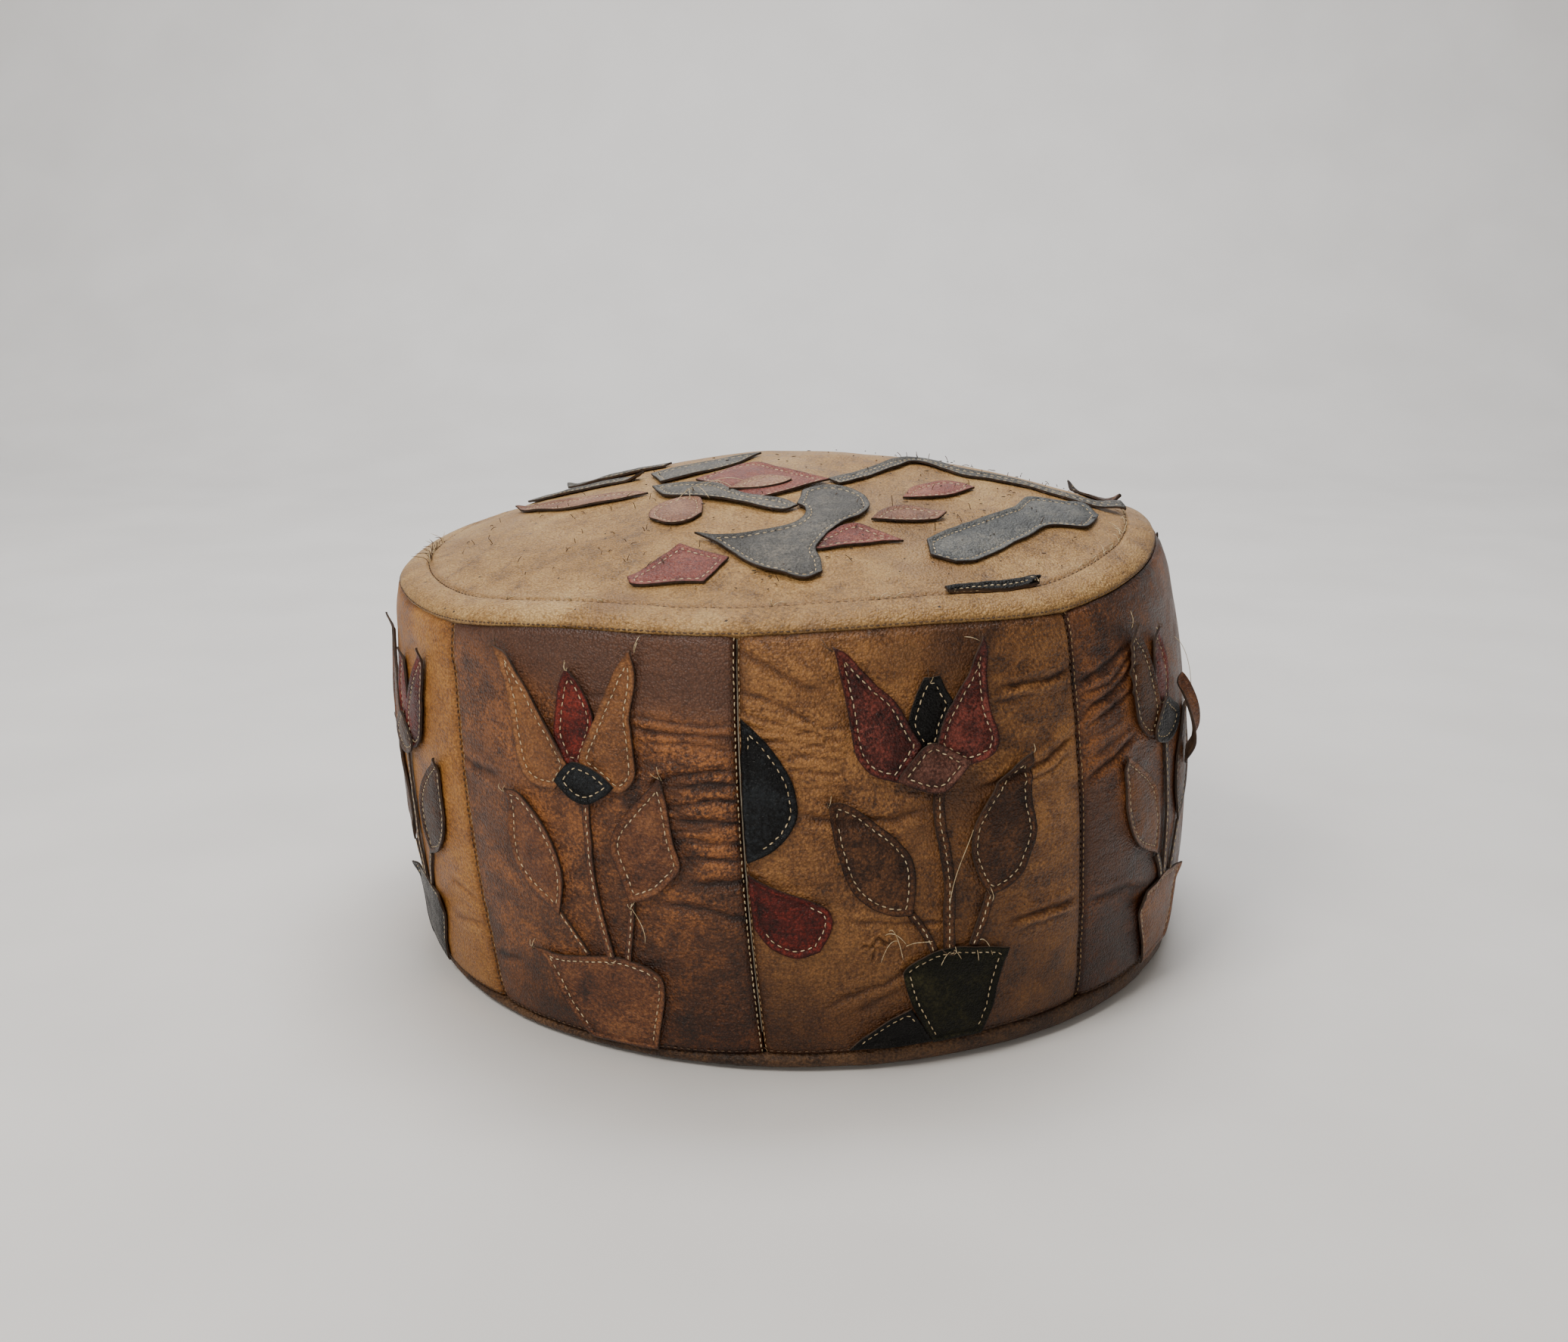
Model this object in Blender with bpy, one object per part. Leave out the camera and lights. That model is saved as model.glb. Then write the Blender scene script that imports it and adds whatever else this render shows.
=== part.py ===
"""A round leather pouf: eight sewn side panels, a domed top, a zipped base, and cut-leather applique.

Units are metres. +Z is up, the front faces -Y, and the origin is on the floor under the middle.
Outlines are written in millimetres and scaled by MM.
"""

import bisect
import math

import bpy
from mathutils import Vector
from mathutils.geometry import delaunay_2d_cdt

MM = 0.001

# Body, in millimetres. Angles are in degrees from the front, positive towards +X.
BELLY_RADIUS = 230.0
BASE_RADIUS = 220.4
TOP_CENTRE = (-4.9, 3.0)
BASE_CENTRE = (3.9, -3.4)
TWIST_DEG = 2.93
SIDE_HEIGHT = 212.0

# The eight panel seams, then values at each seam and each panel's middle, in turn.
SEAM_ANGLES = (-97.0, -49.4, -7.6, 37.8, 81.0, 126.0, 171.0, 216.0)
TOP_RADII = (224, 225, 227, 227, 226.5, 225, 222, 218, 212, 211, 214, 218, 222, 225, 226, 225)
TOP_SEAM = (213, 211, 211.5, 220, 222, 225.5, 223, 231, 238, 232, 224, 222, 221, 222, 219, 216)
BASE_SEAM = (8.5, 7, 6, 6.5, 9, 12, 13.5, 14, 14, 14, 14, 14, 13, 13, 12, 10)
PANEL_LETTERS = "abcdefgh"

# Top panel: dome inside the inner stitch circle, and the padded roll between it and the top seam.
ROLL_WIDTH = 17.5
INNER_RISE = 8.7
MEAN_TOP_SEAM = 223.8
DOME_RISE = 43.5
DOME_POWER = 1.78
ROLL_CONTROL = (-4.5, 12.6)

# Leather and gaps.
LEATHER = 1.6
APPLIQUE = 1.2
LIFT = 0.4
SEAM_GAP = 0.3
CLEARANCE = 0.3
FILLING_INSET = 2.4

# Base and zip.
BASE_FLAT_RADIUS = 207.0
BASE_SLAB = 8.0
SLOT_HALF_LENGTH = 150.0
SLOT_HALF_WIDTH = 8.0
TAPE_BOTTOM = 8.4
TAPE_THICKNESS = 0.6
TAPE_OUTER = 16.0
ZIP_GAP = 0.6
COIL_START = -137.5
COIL_END = 134.5
COIL_WIDTH = 2.4
COIL_Z = (6.0, 8.1)
SLIDER_X = -128.0
SLIDER_LENGTH = 16.0
PIN_Z = 2.6

# Applique outlines on the side panels: millimetres across from the panel's middle, and up from the base seam.
FLOWER_B = {
    "petal_left": [(-40, 207), (-36, 191), (-33, 176), (-32, 160), (-30, 146), (-27, 139), (-20, 135), (-9, 134),
                   (0, 146), (-8, 160), (-16, 173), (-24, 187), (-32, 199)],
    "petal_centre": [(5, 196), (-1, 186), (-5, 173), (-7, 161), (-4, 152), (-2, 147), (7, 147), (12, 157), (16, 169),
                     (12, 183)],
    "petal_right": [(42, 208), (32, 196), (24, 183), (17, 170), (11, 159), (6, 148), (17, 141), (24, 136), (30, 137),
                    (35, 144), (36, 156), (36, 173), (40, 190)],
    "leaf_left": [(-44, 133), (-43, 118), (-45, 105), (-44, 92), (-37, 82), (-28, 75), (-18, 67), (-14, 80),
                  (-13, 92), (-17, 107), (-26, 122), (-36, 130)],
    "leaf_right": [(49, 149), (39, 136), (29, 126), (20, 115), (18, 105), (21, 93), (24, 79), (37, 85), (46, 92),
                   (52, 101), (50, 113), (49, 130)],
    "pot": [(-40, 49), (-28, 45), (-12, 47), (8, 50), (20, 49), (29, 46), (36, 40), (34, 28), (30, 14), (26, 2),
            (-13, 2), (-18, 8), (-24, 18), (-30, 32)],
    "calyx": [(-9, 139), (-4, 144), (3, 149), (9, 148), (17, 144), (24, 138), (18, 133), (9, 129), (0, 131)],
}
FLOWER_B_STEMS = {
    "calyx": ([(7, 134), (6, 115), (5, 100), (5, 80), (7, 62), (9, 44)], 4.4),
    "leaf_left": ([(-19, 72), (-12, 60), (-5, 43)], 3.0),
    "leaf_right": ([(25, 84), (22, 65), (18, 44)], 3.4),
}
FLOWER_C = {
    "petal_left": [(-42, 208), (-39, 193), (-37, 179), (-36, 166), (-35, 156), (-33, 150), (-28, 144), (-16, 139),
                   (-3, 156), (-8, 166), (-14, 178), (-22, 186), (-29, 194), (-35, 202)],
    "petal_centre": [(0, 188), (9, 188), (12, 181), (15, 174), (10, 164), (6, 153), (-3, 153), (-7, 162), (-8, 168),
                     (-4, 178)],
    "petal_right": [(32, 208), (28, 197), (24, 188), (16, 177), (9, 167), (4, 154), (19, 144), (28, 146), (35, 150),
                    (37, 158), (34, 169), (33, 185), (34, 197)],
    "leaf_left": [(-51, 133), (-43, 132), (-34, 126), (-21, 114), (-13, 103), (-11, 90), (-14, 73), (-25, 74),
                  (-35, 79), (-43, 89), (-47, 104), (-49, 119)],
    "leaf_right": [(56, 150), (45, 141), (36, 134), (27, 123), (20, 111), (19, 99), (22, 87), (28, 76), (38, 80),
                   (47, 86), (52, 95), (56, 107), (54, 122)],
    "pot": [(-20, 43), (-15, 48), (-4, 52), (8, 53), (20, 51), (38, 48), (32, 34), (27, 18), (21, 2.5), (-6, 2.5),
            (-12, 14), (-17, 27)],
    "calyx": [(-18, 140), (-11, 147), (-3, 155), (4, 157), (12, 152), (22, 146), (14, 139), (6, 133), (-6, 135)],
}
FLOWER_C_STEMS = {
    "calyx": ([(4, 138), (3, 118), (5, 102), (6, 86), (5, 69), (4, 47)], 5.8),
    "leaf_left": ([(-15, 77), (-8, 63), (-3, 48)], 4.2),
    "leaf_right": ([(28, 82), (23, 65), (16, 47)], 4.6),
}
HALF_DROP = [(-87, 174), (-75, 162), (-68, 150), (-64, 137), (-66, 123), (-77, 110), (-89, 104), (-89, 128)]
HALF_FRUIT = [(-89, 97), (-76, 90), (-58, 82), (-53, 77), (-54, 68), (-60, 58), (-71, 55), (-83, 60), (-89, 70)]
QUARTER_LEAF = [(-49, 3), (-41, 10), (-28, 18), (-17, 22), (-10, 20), (-6, 3)]

# One tulip in its pot, as a single silhouette, for the panels seen edge-on or not at all.
TULIP = [
    [(-43, 196), (-37, 170), (-33, 146), (-14, 136), (-4, 148), (-16, 174)],
    [(-1, 188), (-11, 168), (-8, 146), (8, 146), (11, 168)],
    [(41, 196), (15, 174), (4, 148), (14, 136), (33, 146), (37, 170)],
    [(-18, 142), (0, 156), (18, 142), (6, 131), (-6, 131)],
    [(-48, 130), (-46, 97), (-37, 80), (-14, 72), (-12, 92), (-19, 111), (-32, 123)],
    [(50, 136), (34, 126), (19, 110), (18, 96), (26, 78), (42, 82), (51, 104)],
    [(-30, 44), (0, 50), (30, 44), (20, 3), (-20, 3)],
]
TULIP_STEMS = [
    ([(0, 138), (1, 90), (0, 40)], 6.0),
    ([(-20, 80), (0, 52)], 4.0),
    ([(27, 86), (0, 54)], 4.0),
]
# Where a tulip sits off its panel's middle: millimetres across, its height as a share, and its lean.
TULIP_FIT = {"a": (13.2, 0.955, 0.07), "d": (-6.0, 0.95)}

# Applique outlines on the top: millimetres to the right of and behind the middle.
TOP_SHAPES = {
    "top_pentagon_red": [(-81, -171), (-59, -146), (-36, -161), (-45, -181), (-79, -177)],
    "top_bird_grey": [(-49, -136), (-27, -138), (-8, -134), (4, -121), (1, -105), (4, -85), (17, -78), (32, -84),
                      (37, -101), (34, -117), (24, -130), (9, -159), (11, -179), (5, -185), (-20, -172), (-40, -145)],
    "top_pentagon_small": [(-77, -92), (-70, -77), (-58, -75), (-51, -85), (-49, -108), (-58, -116), (-70, -113)],
    "top_wing_red": [(-55, -39), (-41, -29), (-27, -24), (-10, -40), (16, -65), (-10, -86), (-25, -89)],
    "top_wing_leaf": [(-35, -76), (-24, -63), (-15, -57), (-4, -67), (-21, -77)],
    "top_band_grey": [(-78, -40), (-60, -44), (-27, -86), (-2, -104), (-8, -111), (-30, -97), (-51, -81), (-72, -58)],
    "top_shoulder_grey": [(-83, 2), (-70, 7), (-39, 12), (-22, 12), (-38, -14), (-74, -30)],
    "top_strip_front": [(-166, 28), (-128, -14), (-86, -36), (-82, -48), (-124, -38), (-160, 8)],
    "top_strip_middle": [(-165, 70), (-130, 30), (-94, 6), (-88, -4), (-128, 14), (-160, 50)],
    "top_strip_back": [(-141, 82), (-104, 46), (-75, 34), (-78, 24), (-110, 34), (-140, 66)],
    "top_branch": [(17, -62), (44, -30), (72, -3), (92, -20), (130, -22), (181, -31), (184, -41), (130, -33),
                   (92, -33), (70, -16), (46, -42), (23, -70)],
    "top_triangle_red": [(2, -157), (28, -133), (51, -143), (13, -158)],
    "top_leaf_pink": [(39, -120), (52, -97), (71, -95), (77, -100), (66, -111)],
    "top_leaf_red": [(58, -76), (71, -55), (89, -46), (97, -53), (81, -68)],
    "top_fish": [(66, -137), (85, -110), (116, -79), (127, -57), (139, -50), (160, -47), (165, -59), (156, -81),
                 (134, -93), (109, -123), (88, -148), (67, -153)],
    "top_strip_black": [(73, -187), (110, -166), (117, -158), (119, -170), (106, -182), (77, -193)],
    "top_leaf_back": [(162, 24), (176, 27), (186, -8), (176, -14), (166, 4)],
}

COLOURS = {
    "leather_dark": ((0.052, 0.023, 0.014), 0.42),
    "leather_tan": ((0.26, 0.115, 0.040), 0.50),
    "leather_top": ((0.36, 0.21, 0.095), 0.55),
    "leather_base": ((0.050, 0.027, 0.014), 0.60),
    "oxblood": ((0.12, 0.017, 0.014), 0.45),
    "black": ((0.012, 0.011, 0.012), 0.45),
    "brown": ((0.075, 0.030, 0.017), 0.50),
    "light_tan": ((0.27, 0.10, 0.040), 0.50),
    "green": ((0.028, 0.025, 0.012), 0.50),
    "grey": ((0.15, 0.15, 0.145), 0.55),
    "faded_red": ((0.27, 0.10, 0.08), 0.55),
    "faded_pink": ((0.33, 0.20, 0.165), 0.55),
    "cotton": ((0.62, 0.55, 0.42), 0.90),
    "zip_tape": ((0.035, 0.026, 0.020), 0.85),
    "nylon": ((0.045, 0.035, 0.028), 0.40),
    "brass": ((0.55, 0.40, 0.16), 0.35),
}
PANEL_COLOURS = ("leather_tan", "leather_dark") * 4
FLOWER_B_COLOURS = {"petal_left": "light_tan", "petal_centre": "oxblood", "petal_right": "light_tan",
                    "leaf_left": "brown", "leaf_right": "light_tan", "pot": "light_tan", "calyx": "black"}
FLOWER_C_COLOURS = {"petal_left": "oxblood", "petal_centre": "black", "petal_right": "oxblood",
                    "leaf_left": "brown", "leaf_right": "brown", "pot": "green", "calyx": "brown"}
TOP_COLOURS = {"top_pentagon_red": "faded_red", "top_bird_grey": "grey", "top_pentagon_small": "faded_pink",
               "top_wing_red": "faded_red", "top_wing_leaf": "light_tan", "top_band_grey": "grey",
               "top_shoulder_grey": "grey", "top_strip_front": "faded_pink", "top_strip_middle": "faded_pink",
               "top_strip_back": "grey", "top_branch": "grey", "top_triangle_red": "faded_red",
               "top_leaf_pink": "faded_pink", "top_leaf_red": "faded_red", "top_fish": "grey",
               "top_strip_black": "black", "top_leaf_back": "brown"}


def clear_scene():
    for obj in list(bpy.data.objects):
        bpy.data.objects.remove(obj)


def new_collection(name, hidden=False):
    collection = bpy.data.collections.new(name)
    collection.hide_render = hidden
    bpy.context.scene.collection.children.link(collection)
    return collection


clear_scene()
PARTS = new_collection("leather_pouf")
CUTTERS = new_collection("cutters", hidden=True)


def stations():
    """The angle of every seam and every panel's middle, rising through one full turn."""
    found = []
    for i, angle in enumerate(SEAM_ANGLES):
        following = SEAM_ANGLES[i + 1] if i < 7 else SEAM_ANGLES[0] + 360
        found += [angle, (angle + following) / 2]
    return found


STATIONS = stations()
MIDDLES = dict(zip(PANEL_LETTERS, STATIONS[1::2]))


def around(values, angle):
    """A smooth closed curve through one value at each station."""
    turned = STATIONS[0] + (angle - STATIONS[0]) % 360
    i = bisect.bisect_right(STATIONS, turned) - 1
    knots = [STATIONS[(i + k) % 16] + 360 * ((i + k) // 16) for k in (-1, 0, 1, 2)]
    heights = [values[(i + k) % 16] for k in (-1, 0, 1, 2)]
    span = knots[2] - knots[1]
    slope_in = (heights[2] - heights[0]) / (knots[2] - knots[0]) * span
    slope_out = (heights[3] - heights[1]) / (knots[3] - knots[1]) * span
    f = (turned - knots[1]) / span
    start = (2 * f**3 - 3 * f**2 + 1) * heights[1] + (f**3 - 2 * f**2 + f) * slope_in
    end = (3 * f**2 - 2 * f**3) * heights[2] + (f**3 - f**2) * slope_out
    return start + end


def spot(centre, radius, angle, height):
    turn = math.radians(angle)
    return Vector((centre[0] + radius * math.sin(turn), centre[1] - radius * math.cos(turn), height))


def side_at(angle, t):
    """A point on the outside of the side wall, with t running from 0 at the base seam to 1 at the top seam."""
    high_radius = around(TOP_RADII, angle)
    radius = BASE_RADIUS * (1 - t) * (1 - 2 * t) + BELLY_RADIUS * 4 * t * (1 - t) + high_radius * t * (2 * t - 1)
    centre = [b * (1 - t) + a * t for a, b in zip(TOP_CENTRE, BASE_CENTRE)]
    low = around(BASE_SEAM, angle)
    high = around(TOP_SEAM, angle)
    return spot(centre, radius, angle + TWIST_DEG * (1 - t), low * (1 - t) + high * t)


def top_at(angle, s):
    """A point on the top, with s from 0 at the middle to 1 at the inner stitches and 2 at the top seam."""
    seam = around(TOP_SEAM, angle)
    edge = around(TOP_RADII, angle)
    if s <= 1:
        rise = INNER_RISE + DOME_RISE * (1 - s**DOME_POWER)
        height = MEAN_TOP_SEAM + s * (seam - MEAN_TOP_SEAM) + rise
        return spot(TOP_CENTRE, (edge - ROLL_WIDTH) * s, angle, height)
    f = s - 1
    radius = edge - ROLL_WIDTH * (1 - f)**2 + ROLL_CONTROL[0] * 2 * f * (1 - f)
    rise = INNER_RISE * (1 - f)**2 + ROLL_CONTROL[1] * 2 * f * (1 - f)
    return spot(TOP_CENTRE, radius, angle, seam + rise)


def lifted(surface, a, b, lift, steps):
    """surface(a, b), moved out along the surface's normal."""
    across = surface(a + steps[0], b) - surface(a - steps[0], b)
    along = surface(a, b + steps[1]) - surface(a, b - steps[1])
    return surface(a, b) + across.cross(along).normalized() * lift


def side_point(angle, t, lift):
    return lifted(side_at, angle, t, lift, (0.2, 0.004))


def top_plan(x, y):
    """The top surface under a plan position."""
    dx = x - TOP_CENTRE[0]
    dy = y - TOP_CENTRE[1]
    angle = math.degrees(math.atan2(dx, -dy))
    return top_at(angle, math.hypot(dx, dy) / (around(TOP_RADII, angle) - ROLL_WIDTH))


def top_plan_point(x, y, lift):
    return lifted(top_plan, x, y, lift, (1.0, 1.0))


def top_ring_point(angle, s, lift):
    if s < 1:
        middle = top_at(angle, s)
        return top_plan_point(middle.x, middle.y, lift)
    normal = (top_at(angle + 0.2, s) - top_at(angle - 0.2, s)).cross(top_at(angle, s - 0.02) - top_at(angle, s + 0.02))
    return top_at(angle, s) + normal.normalized() * lift


def material(name):
    found = bpy.data.materials.new(name)
    colour, roughness = COLOURS[name.split("__")[0]]
    found.use_nodes = True
    shader = found.node_tree.nodes["Principled BSDF"]
    shader.inputs["Base Color"].default_value = (*colour, 1)
    shader.inputs["Roughness"].default_value = roughness
    shader.inputs["Metallic"].default_value = 1.0 if name.startswith("brass") else 0.0
    return found


def add_mesh(name, points, faces, colour=None, collection=None):
    """A mesh object, from points in millimetres."""
    mesh = bpy.data.meshes.new(name)
    mesh.from_pydata([tuple(c * MM for c in p) for p in points], [], faces)
    mesh.validate()
    obj = bpy.data.objects.new(name, mesh)
    if colour:
        mesh.materials.append(material(colour + "__" + name))
    (collection or PARTS).objects.link(obj)
    if collection is CUTTERS:
        obj.hide_render = True
        obj.display_type = "WIRE"
    return obj


def add_box(name, low, high, colour=None, collection=None):
    points = [(x, y, z) for x in (low[0], high[0]) for y in (low[1], high[1]) for z in (low[2], high[2])]
    faces = [(0, 1, 3, 2), (4, 6, 7, 5), (0, 4, 5, 1), (2, 3, 7, 6), (0, 2, 6, 4), (1, 5, 7, 3)]
    return add_mesh(name, points, faces, colour, collection)


def boolean(obj, other, operation):
    modifier = obj.modifiers.new(operation.lower(), "BOOLEAN")
    modifier.object = other
    modifier.operation = operation
    modifier.solver = "EXACT"


def shell(name, columns, rows, point, colour):
    """A curved sheet over a grid of (column, row) values, one leather thickness deep, outer face at lift 0."""
    points = [point(c, r, lift) for lift in (0, -LEATHER) for r in rows for c in columns]
    width = len(columns)
    count = width * len(rows)
    faces = []
    for j in range(len(rows) - 1):
        for i in range(width - 1):
            a = j * width + i
            quad = (a, a + 1, a + 1 + width, a + width)
            faces.append(quad)
            faces.append(tuple(v + count for v in reversed(quad)))
    rim = [i for i in range(width)]
    rim += [j * width + width - 1 for j in range(1, len(rows))]
    rim += [(len(rows) - 1) * width + i for i in range(width - 2, -1, -1)]
    rim += [j * width for j in range(len(rows) - 2, 0, -1)]
    for a, b in zip(rim, rim[1:] + rim[:1]):
        faces.append((b, a, a + count, b + count))
    return add_mesh(name, points, faces, colour)


def ringed(name, rings, colour):
    """A closed solid from stacked rings of equal length, capped by a point at each end. Rings run from the top down."""
    top, *loops, bottom = rings
    size = len(loops[0])
    points = [top] + [p for loop in loops for p in loop] + [bottom]
    faces = []
    for i in range(size):
        j = (i + 1) % size
        faces.append((0, 1 + i, 1 + j))
        for k in range(len(loops) - 1):
            a = 1 + k * size
            faces.append((a + i, a + size + i, a + size + j, a + j))
        last = 1 + (len(loops) - 1) * size
        faces.append((last + i, len(points) - 1, last + j))
    return add_mesh(name, points, faces, colour)


def azimuths(per_half_panel):
    ends = STATIONS[1:] + [STATIONS[0] + 360]
    return [a + (b - a) * k / per_half_panel for a, b in zip(STATIONS, ends) for k in range(per_half_panel)]


# Outlines.


def signed_area(outline):
    return sum(a[0] * b[1] - b[0] * a[1] for a, b in zip(outline, outline[1:] + outline[:1])) / 2


def anticlockwise(outline):
    return list(outline) if signed_area(outline) > 0 else list(reversed(outline))


def rounded(outline, cut=0.25):
    """The outline with each corner cut once, so that it reads as a knife-cut curve."""
    found = []
    for a, b in zip(outline, outline[1:] + outline[:1]):
        found.append((a[0] + (b[0] - a[0]) * cut, a[1] + (b[1] - a[1]) * cut))
        found.append((b[0] + (a[0] - b[0]) * cut, b[1] + (a[1] - b[1]) * cut))
    return found


def grown(outline, amount):
    """The outline pushed outwards along its vertex normals."""
    found = []
    outline = anticlockwise(outline)
    for before, here, after in zip(outline[-1:] + outline[:-1], outline, outline[1:] + outline[:1]):
        tangent = Vector((after[0] - before[0], after[1] - before[1])).normalized()
        found.append((here[0] + tangent.y * amount, here[1] - tangent.x * amount))
    return found


def ribbon(line, width):
    """The outline of a strip of this width along a line of points."""
    left, right = [], []
    for i, here in enumerate(line):
        before = Vector(line[max(i - 1, 0)])
        after = Vector(line[min(i + 1, len(line) - 1)])
        tangent = (after - before).normalized()
        left.append((here[0] - tangent.y * width / 2, here[1] + tangent.x * width / 2))
        right.append((here[0] + tangent.y * width / 2, here[1] - tangent.x * width / 2))
    return right + left[::-1]


def divided(outline, step):
    found = []
    for a, b in zip(outline, outline[1:] + outline[:1]):
        pieces = max(1, math.ceil(math.dist(a, b) / step))
        found += [(a[0] + (b[0] - a[0]) * k / pieces, a[1] + (b[1] - a[1]) * k / pieces) for k in range(pieces)]
    return found


def distance_to(outline, p):
    nearest = 1e9
    for a, b in zip(outline, outline[1:] + outline[:1]):
        edge = Vector(b) - Vector(a)
        along = max(0, min(1, (Vector(p) - Vector(a)).dot(edge) / max(edge.length_squared, 1e-9)))
        nearest = min(nearest, (Vector(a) + edge * along - Vector(p)).length)
    return nearest


def patch(name, shapes, point, colour, taken=(), step=18.0):
    """A thin piece covering any of the shapes and none of the taken ones, laid on a surface by point(x, y, lift)."""
    loops = [divided(anticlockwise(s), step) for s in shapes]
    loops += [divided(grown(s, SEAM_GAP), step) for s in taken]
    points, loop_faces = [], []
    for loop in loops:
        loop_faces.append(list(range(len(points), len(points) + len(loop))))
        points += loop
    xs = [p[0] for s in shapes for p in s]
    ys = [p[1] for s in shapes for p in s]
    for i in range(int((max(xs) - min(xs)) / step) + 1):
        for j in range(int((max(ys) - min(ys)) / step) + 1):
            p = (min(xs) + (i + 0.5) * step, min(ys) + (j + 0.5) * step)
            if all(distance_to(loop, p) > step * 0.35 for loop in loops):
                points.append(p)
    flat, _, tris, _, _, sources = delaunay_2d_cdt([Vector(p) for p in points], [], loop_faces, 0, 1e-4)
    wanted = set(range(len(shapes)))
    kept = [t for t, s in zip(tris, sources) if wanted & set(s) and not set(s) - wanted]
    used = sorted({v for t in kept for v in t})
    index = {v: k for k, v in enumerate(used)}
    kept = [tuple(index[v] for v in t) for t in kept]
    count = len(used)
    solid = [point(flat[v].x, flat[v].y, lift) for lift in (LIFT + APPLIQUE, LIFT) for v in used]
    edges = {(t[i], t[(i + 1) % 3]) for t in kept for i in range(3)}
    faces = kept + [tuple(v + count for v in reversed(t)) for t in kept]
    faces += [(b, a, a + count, b + count) for a, b in edges if (b, a) not in edges]
    return add_mesh(name, solid, faces, colour)


def on_side(letter, shift=0.0, stretch=1.0, lean=0.0):
    """Panel coordinates in millimetres to a point on that side panel."""
    def point(u, v, lift):
        angle = MIDDLES[letter] + math.degrees((u + shift + lean * v) / BELLY_RADIUS)
        return side_point(angle, v * stretch / SIDE_HEIGHT, lift)
    return point


# Building.


def build_side_panels():
    low = SEAM_GAP / SIDE_HEIGHT
    rows = [low] + [k / 8 for k in range(1, 8)] + [1 - low]
    trim = math.degrees(SEAM_GAP / 2 / BELLY_RADIUS)
    for i, letter in enumerate(PANEL_LETTERS):
        start = SEAM_ANGLES[i] + trim
        end = (SEAM_ANGLES[i + 1] if i < 7 else SEAM_ANGLES[0] + 360) - trim
        columns = [start + (end - start) * k / 6 for k in range(7)]
        shell("side_panel_" + letter, columns, rows, side_point, PANEL_COLOURS[i])


def build_top():
    turns = azimuths(3)
    marks = (0.2, 0.45, 0.7, 0.88, 1.0, 1.3, 1.65, 1.97)
    middle = top_plan_point(*TOP_CENTRE, 0)
    outer = [[top_ring_point(a, s, 0) for a in turns] for s in marks]
    inner = [[top_ring_point(a, s, -LEATHER) for a in turns] for s in reversed(marks)]
    ringed("top_panel", [middle, *outer, *inner, middle - Vector((0, 0, LEATHER))], "leather_top")


def build_filling():
    turns = azimuths(2)
    inset = -FILLING_INSET
    rings = [top_plan_point(*TOP_CENTRE, inset)]
    rings += [[top_ring_point(a, s, inset) for a in turns] for s in (0.25, 0.5, 0.75, 1.0, 1.5)]
    rings += [[side_point(a, t, inset) for a in turns] for t in (0.97, 0.8, 0.6, 0.4, 0.2, 0.06)]
    floor = BASE_SLAB + CLEARANCE
    rings.append([spot(BASE_CENTRE, BASE_RADIUS - 22, a + TWIST_DEG, floor) for a in turns])
    rings.append(Vector((*BASE_CENTRE, floor)))
    filling = ringed("filling", rings, "cotton")
    low = (BASE_CENTRE[0] - SLOT_HALF_LENGTH - 8, BASE_CENTRE[1] - TAPE_OUTER - 2, 0)
    high = (BASE_CENTRE[0] + SLOT_HALF_LENGTH + 8, BASE_CENTRE[1] + TAPE_OUTER + 2, 11.2)
    boolean(filling, add_box("zip_channel", low, high, collection=CUTTERS), "DIFFERENCE")


def base_blank(name, colour):
    """The whole base: a flat slab whose edge turns up to the base seam."""
    turns = azimuths(2)
    flat = [spot(BASE_CENTRE, BASE_FLAT_RADIUS, a + TWIST_DEG, 0) for a in turns]
    edge, brim, inside = [], [], []
    for a in turns:
        height = around(BASE_SEAM, a)
        edge.append(spot(BASE_CENTRE, BASE_RADIUS - 1.8, a + TWIST_DEG, height * 0.35))
        brim.append(spot(BASE_CENTRE, BASE_RADIUS, a + TWIST_DEG, height - SEAM_GAP))
        inside.append(spot(BASE_CENTRE, BASE_RADIUS - LEATHER - 0.6, a + TWIST_DEG, height - SEAM_GAP))
    step = [spot(BASE_CENTRE, BASE_RADIUS - 9, a + TWIST_DEG, 2.4) for a in turns]
    slab = [spot(BASE_CENTRE, BASE_RADIUS - 18, a + TWIST_DEG, BASE_SLAB) for a in turns]
    middle = Vector((*BASE_CENTRE, 0))
    rings = [middle + Vector((0, 0, BASE_SLAB)), slab, step, inside, brim, edge, flat, middle]
    return ringed(name, rings, colour)


def build_base():
    x, y = BASE_CENTRE
    slot_low = (x - SLOT_HALF_LENGTH, y - SLOT_HALF_WIDTH, -5)
    slot_high = (x + SLOT_HALF_LENGTH, y + SLOT_HALF_WIDTH, BASE_SLAB + 5)
    slot = add_box("zip_slot", slot_low, slot_high, collection=CUTTERS)
    for name, side in (("base_half_front", -1), ("base_half_back", 1)):
        half = base_blank(name, "leather_base")
        ends = sorted((y + side * SEAM_GAP / 2, y + side * 300))
        keep = add_box(name + "_keep", (x - 300, ends[0], -10), (x + 300, ends[1], 40), collection=CUTTERS)
        boolean(half, keep, "INTERSECT")
        boolean(half, slot, "DIFFERENCE")


def zip_box(name, low, high, colour=None, collection=None):
    """A box in zip coordinates, which run from the middle of the base."""
    shift = (BASE_CENTRE[0], BASE_CENTRE[1], 0)
    low = [a + b for a, b in zip(low, shift)]
    high = [a + b for a, b in zip(high, shift)]
    return add_box(name, low, high, colour, collection)


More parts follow.
